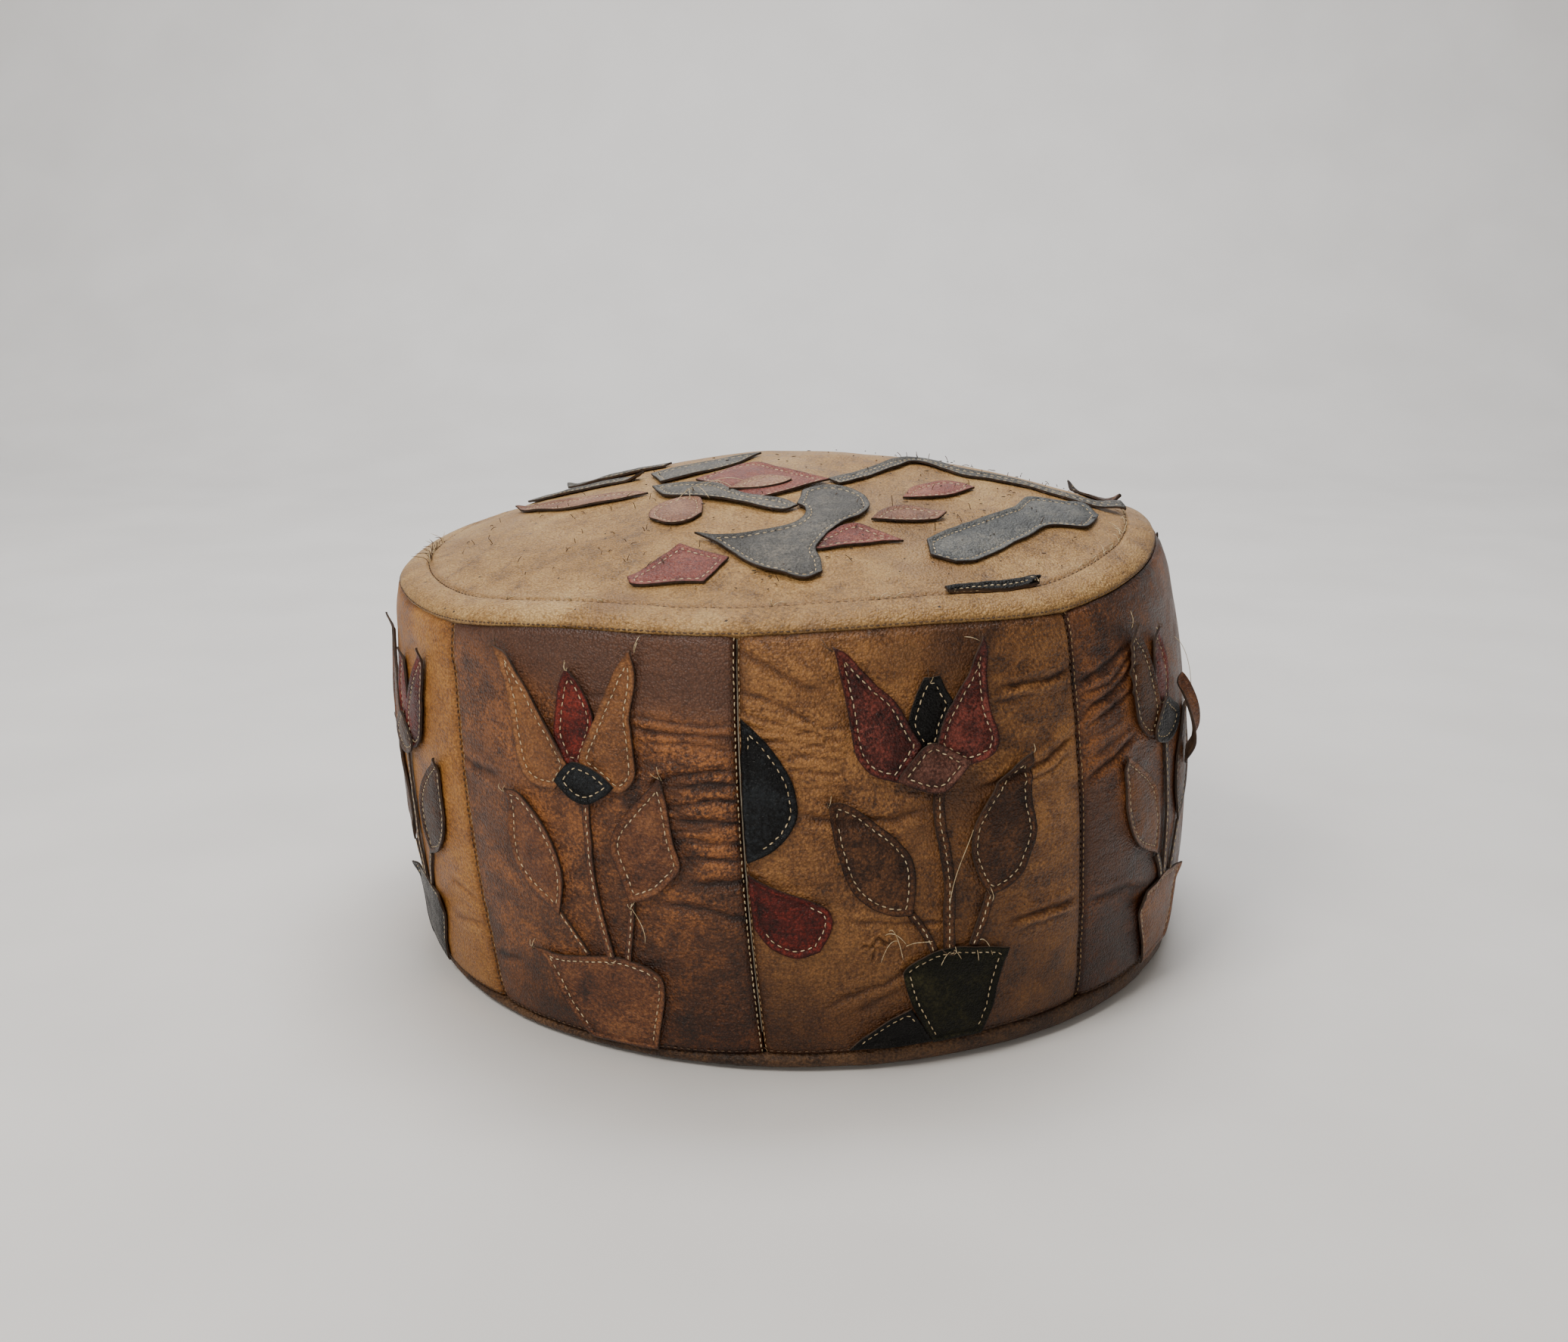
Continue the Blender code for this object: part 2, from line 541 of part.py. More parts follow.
def cylinder_along_y(name, x, z, radius, half_width, colour=None, collection=None):
    x += BASE_CENTRE[0]
    points = []
    for y in (BASE_CENTRE[1] - half_width, BASE_CENTRE[1] + half_width):
        for k in range(16):
            turn = math.tau * k / 16
            points.append((x + radius * math.cos(turn), y, z + radius * math.sin(turn)))
    faces = [tuple(range(16)), tuple(range(31, 15, -1))]
    faces += [((k + 1) % 16, k, k + 16, (k + 1) % 16 + 16) for k in range(16)]
    return add_mesh(name, points, faces, colour, collection)


def build_zip():
    tape_top = TAPE_BOTTOM + TAPE_THICKNESS
    reach = SLOT_HALF_LENGTH + 5
    for name, side in (("front", -1), ("back", 1)):
        ys = sorted((side * ZIP_GAP, side * TAPE_OUTER))
        zip_box("zip_tape_" + name, (-reach, ys[0], TAPE_BOTTOM), (reach, ys[1], tape_top), "zip_tape")
        ys = sorted((side * ZIP_GAP, side * (ZIP_GAP + COIL_WIDTH)))
        zip_box("zip_coil_" + name, (COIL_START, ys[0], COIL_Z[0]), (COIL_END, ys[1], COIL_Z[1]), "nylon")
    width = ZIP_GAP + COIL_WIDTH + 0.3
    for name, start in (("zip_stop_open", COIL_START - 3.3), ("zip_stop_closed", COIL_END + 0.3)):
        zip_box(name, (start, -width, COIL_Z[0] - 0.4), (start + 3, width, COIL_Z[1]), "brass")
    build_slider()
    build_pull()


def build_slider():
    x0 = SLIDER_X - SLIDER_LENGTH / 2
    x1 = SLIDER_X + SLIDER_LENGTH / 2
    inner = ZIP_GAP + COIL_WIDTH + 0.6
    outer = inner + 1.2
    floor = COIL_Z[0] - 0.3
    tape_top = TAPE_BOTTOM + TAPE_THICKNESS
    slider = zip_box("zip_slider", (x0, -outer, floor - 1.5), (x1, outer, floor), "brass")
    slider.modifiers.clear()
    pieces = [
        ("flange_front", (x0, -outer, floor - 1), (x1, -inner, TAPE_BOTTOM - 0.4)),
        ("flange_back", (x0, inner, floor - 1), (x1, outer, TAPE_BOTTOM - 0.4)),
        ("post", (SLIDER_X - 7, -0.3, floor - 1), (SLIDER_X - 3, 0.3, tape_top + 1)),
        ("top_plate", (x0, -outer, tape_top + 0.3), (x1, outer, tape_top + 1.3)),
        ("lug", (SLIDER_X - 3, -1, PIN_Z - 1.3), (SLIDER_X + 3, 1, floor - 1)),
    ]
    for name, low, high in pieces:
        boolean(slider, zip_box("slider_" + name, low, high, collection=CUTTERS), "UNION")
    eye = cylinder_along_y("slider_eye", SLIDER_X, PIN_Z, 0.8, 3, collection=CUTTERS)
    boolean(slider, eye, "DIFFERENCE")


def build_pull():
    """A flat tab with a slot at one end, whose crossbar runs through the slider's eye."""
    pull = zip_box("zip_pull", (SLIDER_X - 1, -2.9, PIN_Z - 0.6), (SLIDER_X + 24, 2.9, PIN_Z + 0.6), "brass")
    slot = zip_box("pull_slot", (SLIDER_X - 9, -1.5, -5), (SLIDER_X + 4.2, 1.5, 9), collection=CUTTERS)
    boolean(pull, slot, "DIFFERENCE")
    bar = cylinder_along_y("pull_bar", SLIDER_X, PIN_Z, 0.6, 2.2, collection=CUTTERS)
    boolean(pull, bar, "UNION")


def build_flower(letter, shapes, stems, colours):
    """One panel's flower, piece by piece. Each later piece stops short of those already placed."""
    point = on_side(letter)
    placed = []
    for part in ("calyx", "leaf_left", "leaf_right", "petal_centre", "petal_left", "petal_right", "pot"):
        cover = [rounded(shapes[part])]
        if part in stems:
            cover.append(ribbon(*stems[part]))
        patch(f"{part}_{letter}", cover, point, colours[part], placed)
        placed += cover


def build_applique():
    build_flower("b", FLOWER_B, FLOWER_B_STEMS, FLOWER_B_COLOURS)
    build_flower("c", FLOWER_C, FLOWER_C_STEMS, FLOWER_C_COLOURS)
    patch("half_drop_c", [HALF_DROP], on_side("c"), "black")
    patch("half_fruit_c", [HALF_FRUIT], on_side("c"), "oxblood")
    patch("quarter_leaf_c", [QUARTER_LEAF], on_side("c"), "black", [rounded(FLOWER_C["pot"])])
    silhouette = [rounded(s) for s in TULIP] + [ribbon(*s) for s in TULIP_STEMS]
    for letter in "adefgh":
        colour = "oxblood" if letter in "aeg" else "light_tan"
        patch("tulip_" + letter, silhouette, on_side(letter, *TULIP_FIT.get(letter, ())), colour)
    placed = []
    for name in ("top_wing_leaf", *[n for n in TOP_SHAPES if n != "top_wing_leaf"]):
        shape = rounded(TOP_SHAPES[name]) if name != "top_triangle_red" else TOP_SHAPES[name]
        patch(name, [shape], top_plan_point, TOP_COLOURS[name], placed)
        placed.append(shape)


build_filling()
build_side_panels()
build_top()
build_base()
build_zip()
build_applique()
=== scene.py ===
"""The visual model of the leather pouf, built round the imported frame.

Shapes are worked out in millimetres, in the frame's own axes, and scaled by MM when a mesh is made.
Angles are in degrees from the front (-Y), positive towards +X. Side panels use (u, v): millimetres
across from the panel's middle, and up from the base seam. The top uses plan positions (x, y).
"""

import math

import bpy
import numpy as np
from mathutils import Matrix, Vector
from mathutils.geometry import delaunay_2d_cdt


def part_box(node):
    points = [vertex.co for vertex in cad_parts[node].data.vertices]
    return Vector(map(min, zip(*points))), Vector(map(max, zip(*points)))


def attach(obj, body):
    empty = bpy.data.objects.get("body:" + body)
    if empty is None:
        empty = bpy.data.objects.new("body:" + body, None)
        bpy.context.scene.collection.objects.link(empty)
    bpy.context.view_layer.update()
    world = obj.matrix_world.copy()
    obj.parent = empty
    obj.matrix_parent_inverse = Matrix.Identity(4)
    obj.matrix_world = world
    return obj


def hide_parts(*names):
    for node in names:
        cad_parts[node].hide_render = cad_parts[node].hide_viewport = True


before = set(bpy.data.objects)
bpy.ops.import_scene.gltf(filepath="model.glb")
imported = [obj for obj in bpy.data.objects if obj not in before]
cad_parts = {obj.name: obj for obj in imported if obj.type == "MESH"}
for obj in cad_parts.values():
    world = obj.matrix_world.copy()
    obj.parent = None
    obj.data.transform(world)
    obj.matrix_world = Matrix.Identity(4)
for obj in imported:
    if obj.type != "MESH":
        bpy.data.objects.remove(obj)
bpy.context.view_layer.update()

MM = 0.001
ROOT = "pouf"

# ---------------------------------------------------------------- the body's shape, as in the frame

BELLY_RADIUS = 230.0
BASE_RADIUS = 220.4
TOP_CENTRE = np.array([-4.9, 3.0])
BASE_CENTRE = np.array([3.9, -3.4])
TWIST = 2.93
SIDE_HEIGHT = 212.0
SEAM_ANGLES = np.array([-97.0, -49.4, -7.6, 37.8, 81.0, 126.0, 171.0, 216.0])
SEAM_LEAN = np.array([0.0, 0.5, 2.1, 0.3, 0.0, 0.8, -1.0, 0.6])
SEAM_BEND = np.array([0.0, 0.0, 0.7, 0.2, 0.0, -0.5, 0.4, -0.4])
TOP_RADII = (224, 225, 227, 227, 226.5, 225, 222, 218, 212, 211, 214, 218, 222, 225, 226, 225)
TOP_SEAM = (213, 211, 211.5, 220, 222, 225.5, 223, 231, 238, 232, 224, 222, 221, 222, 219, 216)
BASE_SEAM = (8.5, 7, 6, 6.5, 9, 12, 13.5, 14, 14, 14, 14, 14, 13, 13, 12, 10)
ROLL_WIDTH = 17.5
INNER_RISE = 8.7
MEAN_TOP_SEAM = 223.8
DOME_RISE = 43.5
DOME_POWER = 1.78
PANELS = "abcdefgh"

NEXT_SEAMS = np.append(SEAM_ANGLES[1:], SEAM_ANGLES[0] + 360)
MIDDLES = dict(zip(PANELS, (SEAM_ANGLES + NEXT_SEAMS) / 2))
STATIONS = np.sort(np.concatenate([SEAM_ANGLES, list(MIDDLES.values())]))

LATTICE = np.random.default_rng(11).random((32, 32, 32))


def hermite(f, a, slope_a, b, slope_b):
    """From a to b as f goes from 0 to 1, with these slopes at its ends."""
    return ((2 * f**3 - 3 * f**2 + 1) * a + (f**3 - 2 * f**2 + f) * slope_a
            + (3 * f**2 - 2 * f**3) * b + (f**3 - f**2) * slope_b)


def around(values, angle):
    """A smooth closed curve through one value at each station."""
    angle = np.asarray(angle, float)
    turned = STATIONS[0] + (angle - STATIONS[0]) % 360
    i = np.searchsorted(STATIONS, turned, "right") - 1
    values = np.asarray(values, float)

    def knot(k):
        return STATIONS[(i + k) % 16] + 360 * ((i + k) // 16), values[(i + k) % 16]

    (ka, va), (kb, vb), (kc, vc), (kd, vd) = knot(-1), knot(0), knot(1), knot(2)
    span = kc - kb
    slope_in = (vc - va) / (kc - ka) * span
    slope_out = (vd - vb) / (kd - kb) * span
    return hermite((turned - kb) / span, vb, slope_in, vc, slope_out)


def spot(cx, cy, radius, angle, height):
    turn = np.radians(angle)
    return np.stack([cx + radius * np.sin(turn), cy - radius * np.cos(turn), height + 0 * turn], -1)


def side_at(angle, t):
    radius = (BASE_RADIUS * (1 - t) * (1 - 2 * t) + BELLY_RADIUS * 4 * t * (1 - t)
              + around(TOP_RADII, angle) * t * (2 * t - 1))
    cx = BASE_CENTRE[0] * (1 - t) + TOP_CENTRE[0] * t
    cy = BASE_CENTRE[1] * (1 - t) + TOP_CENTRE[1] * t
    low = around(BASE_SEAM, angle)
    high = around(TOP_SEAM, angle)
    return spot(cx, cy, radius, angle + TWIST * (1 - t), low * (1 - t) + high * t)


def top_at(angle, s):
    """s is 0 at the middle, 1 at the inner stitches and 2 at the top seam."""
    seam = around(TOP_SEAM, angle)
    edge = around(TOP_RADII, angle)
    inner = np.clip(s, 0, 1)
    f = np.clip(s - 1, 0, 1.2)
    dome = MEAN_TOP_SEAM + inner * (seam - MEAN_TOP_SEAM) + INNER_RISE + DOME_RISE * (1 - inner**DOME_POWER)
    roll = seam + INNER_RISE * (1 - f)**2 + 17.6 * f * (1 - f)
    radius = np.where(s <= 1, (edge - ROLL_WIDTH) * s, edge - ROLL_WIDTH * (1 - f)**2 - 9 * f * (1 - f))
    return spot(*TOP_CENTRE, radius, angle, np.where(s <= 1, dome, roll))


def unit(v):
    return v / np.maximum(np.linalg.norm(v, axis=-1, keepdims=True), 1e-9)


def side_normal(angle, t):
    across = side_at(angle + 0.3, t) - side_at(angle - 0.3, t)
    along = side_at(angle, t + 0.01) - side_at(angle, t - 0.01)
    return unit(np.cross(across, along))


def polar_of(x, y):
    dx = x - TOP_CENTRE[0]
    dy = y - TOP_CENTRE[1]
    angle = np.degrees(np.arctan2(dx, -dy))
    return angle, np.hypot(dx, dy) / (around(TOP_RADII, angle) - ROLL_WIDTH)


def plan_at(x, y):
    return top_at(*polar_of(x, y))


def plan_normal(x, y):
    across = plan_at(x + 1.5, y) - plan_at(x - 1.5, y)
    along = plan_at(x, y + 1.5) - plan_at(x, y - 1.5)
    return unit(np.cross(across, along))


# ---------------------------------------------------------------- noise and relief


def noise(p, size, seed=0):
    """Smooth noise from -1 to 1, with features of about this size."""
    q = np.asarray(p, float) / size + seed * 5.37
    i = np.floor(q).astype(int)
    f = q - i
    f = f * f * (3 - 2 * f)
    total = 0
    for dx in (0, 1):
        for dy in (0, 1):
            for dz in (0, 1):
                weight = 1
                for axis, d in enumerate((dx, dy, dz)):
                    weight = weight * (f[..., axis] if d else 1 - f[..., axis])
                total = total + weight * LATTICE[(i[..., 0] + dx) % 32, (i[..., 1] + dy) % 32, (i[..., 2] + dz) % 32]
    return 2 * total - 1


def fractal(p, size, octaves=3, seed=0):
    total, weight, norm = 0, 1.0, 0
    for k in range(octaves):
        total = total + weight * noise(p, size / 2**k, seed + k)
        norm += weight
        weight *= 0.5
    return total / norm


def smooth(x, low, high):
    f = np.clip((x - low) / (high - low), 0, 1)
    return f * f * (3 - 2 * f)


def bell(x, width):
    return np.exp(-((x / width)**2))


def seam_shift(i, t):
    """How many degrees seam i wanders from its straight line."""
    return SEAM_LEAN[i] * (t - 0.5) + SEAM_BEND[i] * ((2 * t - 1)**2 - 0.33)


def line_distance(x, y, line):
    """The distance to a polyline, and how far along it the nearest point is, from 0 to 1."""
    best = np.full(np.shape(x), 1e9)
    place = np.zeros(np.shape(x))
    count = len(line) - 1
    for k, (a, b) in enumerate(zip(line, line[1:])):
        ex, ey = b[0] - a[0], b[1] - a[1]
        f = np.clip(((x - a[0]) * ex + (y - a[1]) * ey) / max(ex * ex + ey * ey, 1e-9), 0, 1)
        d = np.hypot(x - a[0] - f * ex, y - a[1] - f * ey)
        place = np.where(d < best, (k + f) / count, place)
        best = np.minimum(best, d)
    return best, place


# Creases seen on the front panels: a line of (u, v) points, a depth and a width.
CREASES = {
    "b": [([(32, 173), (60, 169), (86, 171)], 0.7, 1.5), ([(30, 168), (58, 164), (86, 165)], 0.9, 1.6),
          ([(38, 161), (86, 158)], 0.7, 1.4), ([(40, 139), (58, 147), (86, 148)], 1.2, 2.0),
          ([(50, 141), (86, 142)], 0.7, 1.4), ([(48, 131), (86, 134)], 0.8, 1.6), ([(52, 124), (86, 122)], 0.9, 1.6),
          ([(54, 114), (86, 112)], 0.8, 1.6), ([(60, 105), (86, 104)], 0.5, 1.4), ([(58, 92), (86, 95)], 0.9, 2.2),
          ([(-84, 140), (-62, 137), (-50, 134)], 0.7, 2.4), ([(38, 80), (62, 78), (84, 72)], 0.6, 2.4),
          ([(12, 180), (34, 184)], 0.5, 1.6), ([(-80, 30), (-56, 34)], 0.5, 2.4)],
    "c": [([(38, 178), (66, 181), (92, 184)], 1.3, 1.9), ([(36, 172), (62, 174)], 0.5, 1.4),
          ([(20, 130), (59, 139), (92, 151)], 1.3, 2.2), ([(44, 127), (84, 141)], 0.6, 1.5),
          ([(37, 60), (62, 61), (88, 63)], 1.3, 1.9), ([(44, 54), (80, 56)], 0.5, 1.5),
          ([(-91, 171), (-66, 167), (-36, 160)], 0.7, 1.5), ([(-91, 178), (-68, 171), (-42, 162)], 0.7, 1.5),
          ([(-88, 188), (-64, 178), (-44, 166)], 0.7, 1.6), ([(-88, 162), (-60, 162), (-38, 156)], 0.6, 1.4),
          ([(-64, 155), (-38, 152)], 0.5, 1.3), ([(-66, 147), (-40, 146)], 0.5, 1.3),
          ([(-64, 128), (-48, 122), (-20, 121), (0, 124)], 1.2, 2.6), ([(-50, 74), (-12, 68), (8, 66)], 0.7, 1.8),
          ([(-12, 46), (-30, 36), (-62, 27)], 0.8, 2.2), ([(-20, 34), (-46, 22)], 0.5, 1.8),
          ([(-88, 207), (-66, 194), (-46, 183)], 0.9, 2.6),
          ([(-41, 61), (-35, 58), (-31, 62), (-27, 57), (-22, 60)], 1.5, 0.8), ([(-33, 58), (-35, 50)], 1.2, 0.7)],
    "d": [([(-84, 176), (-60, 179), (-38, 184)], 1.0, 1.8), ([(-84, 169), (-60, 171), (-40, 177)], 0.7, 1.5),
          ([(-84, 160), (-60, 165), (-34, 172)], 1.2, 2.0), ([(-84, 152), (-62, 156), (-38, 162)], 0.7, 1.5),
          ([(-84, 124), (-62, 130), (-40, 138)], 1.2, 2.2), ([(-84, 58), (-60, 56), (-30, 50)], 0.8, 2.2)],
    "a": [([(66, 62), (92, 58)], 0.4, 2.4), ([(60, 40), (92, 44)], 0.4, 2.4)],
}
# Where fine cross-wrinkles are strong: a panel, the middle (u, v), the half sizes, and a strength.
WRINKLED = [
    ("b", 62, 132, 34, 44, 1.0), ("b", -10, 150, 30, 14, 0.35), ("c", -66, 160, 34, 26, 0.9),
    ("c", -22, 156, 24, 20, 0.8), ("c", -74, 74, 20, 22, 0.6), ("c", 28, 160, 20, 24, 0.5),
    ("c", 62, 120, 34, 40, 0.35), ("d", -60, 150, 30, 46, 0.5), ("b", -58, 70, 34, 40, 0.2),
    ("e", 0, 130, 60, 40, 0.5), ("g", 20, 120, 60, 50, 0.5), ("f", -20, 90, 60, 60, 0.5), ("h", 10, 120, 60, 50, 0.5),
]


def add_unseen_creases():
    rng = np.random.default_rng(5)
    for letter in "efgh":
        lines = CREASES.setdefault(letter, [])
        for _ in range(8):
            u = rng.uniform(-70, 30)
            v = rng.uniform(30, 185)
            length = rng.uniform(30, 75)
            drop = rng.uniform(-8, 8)
            bend = rng.uniform(-4, 4)
            line = [(u, v), (u + length / 2, v + drop / 2 + bend), (u + length, v + drop)]
            lines.append((line, rng.uniform(0.6, 1.3), rng.uniform(1.6, 2.6)))


add_unseen_creases()


def seam_distance(angle, t):
    """Signed millimetres to the nearest panel seam, and that seam's number."""
    seams = np.stack([SEAM_ANGLES[i] + seam_shift(i, t.ravel()) for i in range(8)])
    gap = (angle.ravel()[None] - seams + 180) % 360 - 180
    nearest = np.argmin(np.abs(gap), axis=0)
    signed = gap[nearest, np.arange(gap.shape[1])]
    return (np.radians(signed) * BELLY_RADIUS).reshape(angle.shape), nearest.reshape(angle.shape)


def side_relief(angle, t):
    """How far the leather stands proud of the smooth body, and its wear from 0 to 1, with painted shade in the
    creases and painted highlights along their crests.
    """
    angle = np.asarray(angle, float)
    t = np.asarray(t, float)
    p = side_at(angle, t)
    v = t * SIDE_HEIGHT
    gap, _ = seam_distance(angle, t)
    gap = np.abs(gap)
    height = -2.3 * bell(gap, 2.0) - 1.0 * bell(gap, 9.0) + 0.9 * (1 - bell(gap, 24))
    from_top = SIDE_HEIGHT - v
    height += -1.9 * bell(from_top, 2.2) + 0.9 * bell(from_top - 15, 10)
    height += -1.4 * bell(v, 2.4) + 0.7 * bell(v - 14, 10)
    height += 1.5 * fractal(p, 80, 2, 1)
    # Small puckers that run out from the seams.
    stitch = bell(gap, 7.0) + bell(from_top, 8.0) * 0.8
    arc = np.radians(angle) * BELLY_RADIUS
    height += 0.35 * stitch * noise(np.stack([arc * 0.45, v * 0.45, 0 * v], -1), 3.0, 3)
    stretched = np.stack([arc * 0.20, v, 0 * v + 9], -1)
    warp = 4.0 * noise(p, 26, 4)
    mask = smooth(fractal(p, 60, 2, 6), 0.10, 0.55) * 0.35
    wear_and_shading = np.zeros(np.shape(v))
    for letter, middle in MIDDLES.items():
        u = np.radians((angle - middle + 180) % 360 - 180) * BELLY_RADIUS
        inside = np.abs(u) < 100
        for name, cu, cv, hu, hv, strength in WRINKLED:
            if name == letter:
                mask = mask + inside * strength * np.exp(-(((u - cu) / hu)**2) - (((v - cv) / hv)**2))
        for line, depth, width in CREASES.get(letter, ()):
            wobble = 1.6 * noise(p, 14, 8) + 0.8 * noise(p, 5, 9)
            d, place = line_distance(np.where(inside, u, 1e4), v + wobble, line)
            ends = np.clip(np.minimum(place, 1 - place) * 5 + 0.15, 0, 1)
            height -= depth * ends * (0.65 * bell(d, width) + 0.45 * bell(d, 0.4 * width))
            height += 0.60 * depth * ends * bell(d - 2.1 * width, 1.3 * width)
            # Painted light on each crease: a painted highlight along the crest beside it, and painted shade in the
            # crease and in a broad band round it.
            wear_and_shading += 0.45 * ends * bell(d - 1.9 * width, 1.3 * width)
            wear_and_shading -= 1.0 * ends * bell(d, 0.45 * width)
            wear_and_shading -= 0.15 * ends * bell(d, 2.4 * width)
    mask = np.clip(mask, 0, 1)
    drift = stretched + np.stack([0 * v, warp, 0 * v], -1)
    folds = noise(drift, 5.6, 10)
    lines = noise(drift * (1.3, 1.15, 1) + 3.3, 3.0, 12)
    cut = bell(folds, 0.15)
    scratch = bell(lines, 0.22)
    height += mask * (0.30 * np.abs(folds) - 0.42 * cut - 0.26 * scratch)
    # Where wrinkled, lighter, partly as wear and partly as a painted highlight on the folds, with painted shade in
    # the creases and fine lines.
    wear_and_shading += mask * (0.30 + 0.6 * np.abs(folds) - 0.85 * cut - 0.45 * scratch)
    faint = smooth(fractal(p, 45, 2, 16), -0.2, 0.4) * 0.4 * (1 - mask)
    height -= 0.16 * faint * cut
    # Painted shade in the faint creases.
    wear_and_shading -= 0.35 * faint * cut
    wear_and_shading += 0.34 * fractal(p, 34, 3, 14)
    return height, np.clip(wear_and_shading, -1.4, 1.2)


def side_surface(angle, t, lift=0.0, share=1.0):
    height, wear_and_shading = side_relief(angle, t)
    return side_at(angle, t) + side_normal(angle, t) * (height * share + lift)[..., None], wear_and_shading


def top_relief(angle, s):
    p = top_at(angle, s)
    radius = around(TOP_RADII, angle) - ROLL_WIDTH
    from_inner = (s - 1) * np.where(s > 1, ROLL_WIDTH * 1.35, radius)
    height = 1.7 * fractal(p, 95, 2, 20) + 0.45 * fractal(p, 26, 2, 22)
    height += 0.9 * bell(from_inner, 5.5) - 0.95 * bell(from_inner, 1.3)
    arc = np.radians(angle) * 210
    pucker = noise(np.stack([arc, from_inner * 0.25, 0 * arc], -1), 4.4, 25)
    height += 0.35 * bell(np.abs(from_inner) - 3.5, 4.0) * pucker
    slack = noise(np.stack([arc * 0.5, from_inner * 0.8, 0 * arc], -1), 13.0, 26)
    height += 0.5 * smooth(s, 1.0, 1.25) * slack
    height += -1.3 * bell((2 - s) * ROLL_WIDTH, 1.6)
    wear_and_shading = 0.6 * fractal(p, 60, 3, 27) + 0.25 * fractal(p, 14, 2, 29)
    return height, np.clip(wear_and_shading, -1, 1)


def top_surface(angle, s, lift=0.0):
    height, wear_and_shading = top_relief(angle, s)
    across = top_at(angle + 0.3, s) - top_at(angle - 0.3, s)
    along = top_at(angle, s - 0.02) - top_at(angle, s + 0.02)
    normal = unit(np.cross(across, along))
    normal[s < 0.02] = (0, 0, 1)
    return top_at(angle, s) + normal * (height + lift)[..., None], wear_and_shading


# ---------------------------------------------------------------- materials


# Noise scales, in features per metre.
BROAD, BLOTCH, SLACK, WOBBLE, FLECK, FINE = 17, 85, 210, 380, 620, 2600
PLATES = 820
SPECKS = 150
# The dark brown that painted shade on the side panels, and dirt on the base, multiply the leather towards.
SHADE_AND_DIRT_COLOUR = (0.30, 0.24, 0.19)
SPECK = (0.025, 0.014, 0.009)


class Graph:
    """A new material's node graph, with short ways to add its nodes and join them."""

    def __init__(self, name):
        self.material = bpy.data.materials.new(name)
        self.material.use_nodes = True
        self.tree = self.material.node_tree
        self.shader = self.tree.nodes["Principled BSDF"]
        self.place = self.add("TexCoord").outputs["Object"]

    def feed(self, socket, value):
        if isinstance(value, bpy.types.NodeSocket):
            self.tree.links.new(value, socket)
        else:
            socket.default_value = (*value, 1) if socket.type == "RGBA" else value

    def add(self, kind, inputs=None, **properties):
        node = self.tree.nodes.new("ShaderNode" + kind)
        for key, value in properties.items():
            setattr(node, key, value)
        for key, value in (inputs or {}).items():
            self.feed(node.inputs[key], value)
        return node

    def maths(self, operation, a, b, clamp=False):
        return self.add("Math", {0: a, 1: b}, operation=operation, use_clamp=clamp).outputs[0]

    def times(self, a, b, clamp=False):
        return self.maths("MULTIPLY", a, b, clamp)

    def total(self, result, *others):
        for value in others:
            result = self.maths("ADD", result, value)
        return result

    def term(self, value, share):
        """How far a noise is from its middle value, times share."""
        return self.times(self.maths("SUBTRACT", value, 0.5), share)

    def mix(self, factor, a, b, blend="MIX"):
        return self.add("Mix", {0: factor, 6: a, 7: b}, data_type="RGBA", blend_type=blend).outputs[2]

    def noise(self, place, scale, detail=3.0, distortion=0.0, stretch=None):
        if stretch:
            place = self.add("Mapping", {"Scale": stretch, "Vector": place}).outputs[0]
        inputs = {"Scale": scale, "Detail": detail, "Distortion": distortion, "Vector": place}
        return self.add("TexNoise", inputs).outputs["Fac"]

    def cells(self, place, scale):
        return self.add("TexVoronoi", {"Scale": scale, "Vector": place}).outputs

    def ramp(self, factor, stops):
        node = self.add("ValToRGB", {"Fac": factor})
        elements = node.color_ramp.elements
        while len(elements) < len(stops):
            elements.new(0.5)
        for element, (position, value) in zip(elements, stops):
            element.position = position
            element.color = (*value, 1) if hasattr(value, "__len__") else (value, value, value, 1)
        return node.outputs["Color"]

    def attribute(self, name):
        return self.add("Attribute", attribute_name=name).outputs["Fac"]

    def finish(self, colour, rough, height, strength, distance):
        bump = self.add("Bump", {"Strength": strength, "Distance": distance, "Height": height})
        surface = {"Base Color": colour, "Roughness": rough, "Normal": bump.outputs["Normal"]}
        for key, value in surface.items():
            self.feed(self.shader.inputs[key], value)
        return self.material


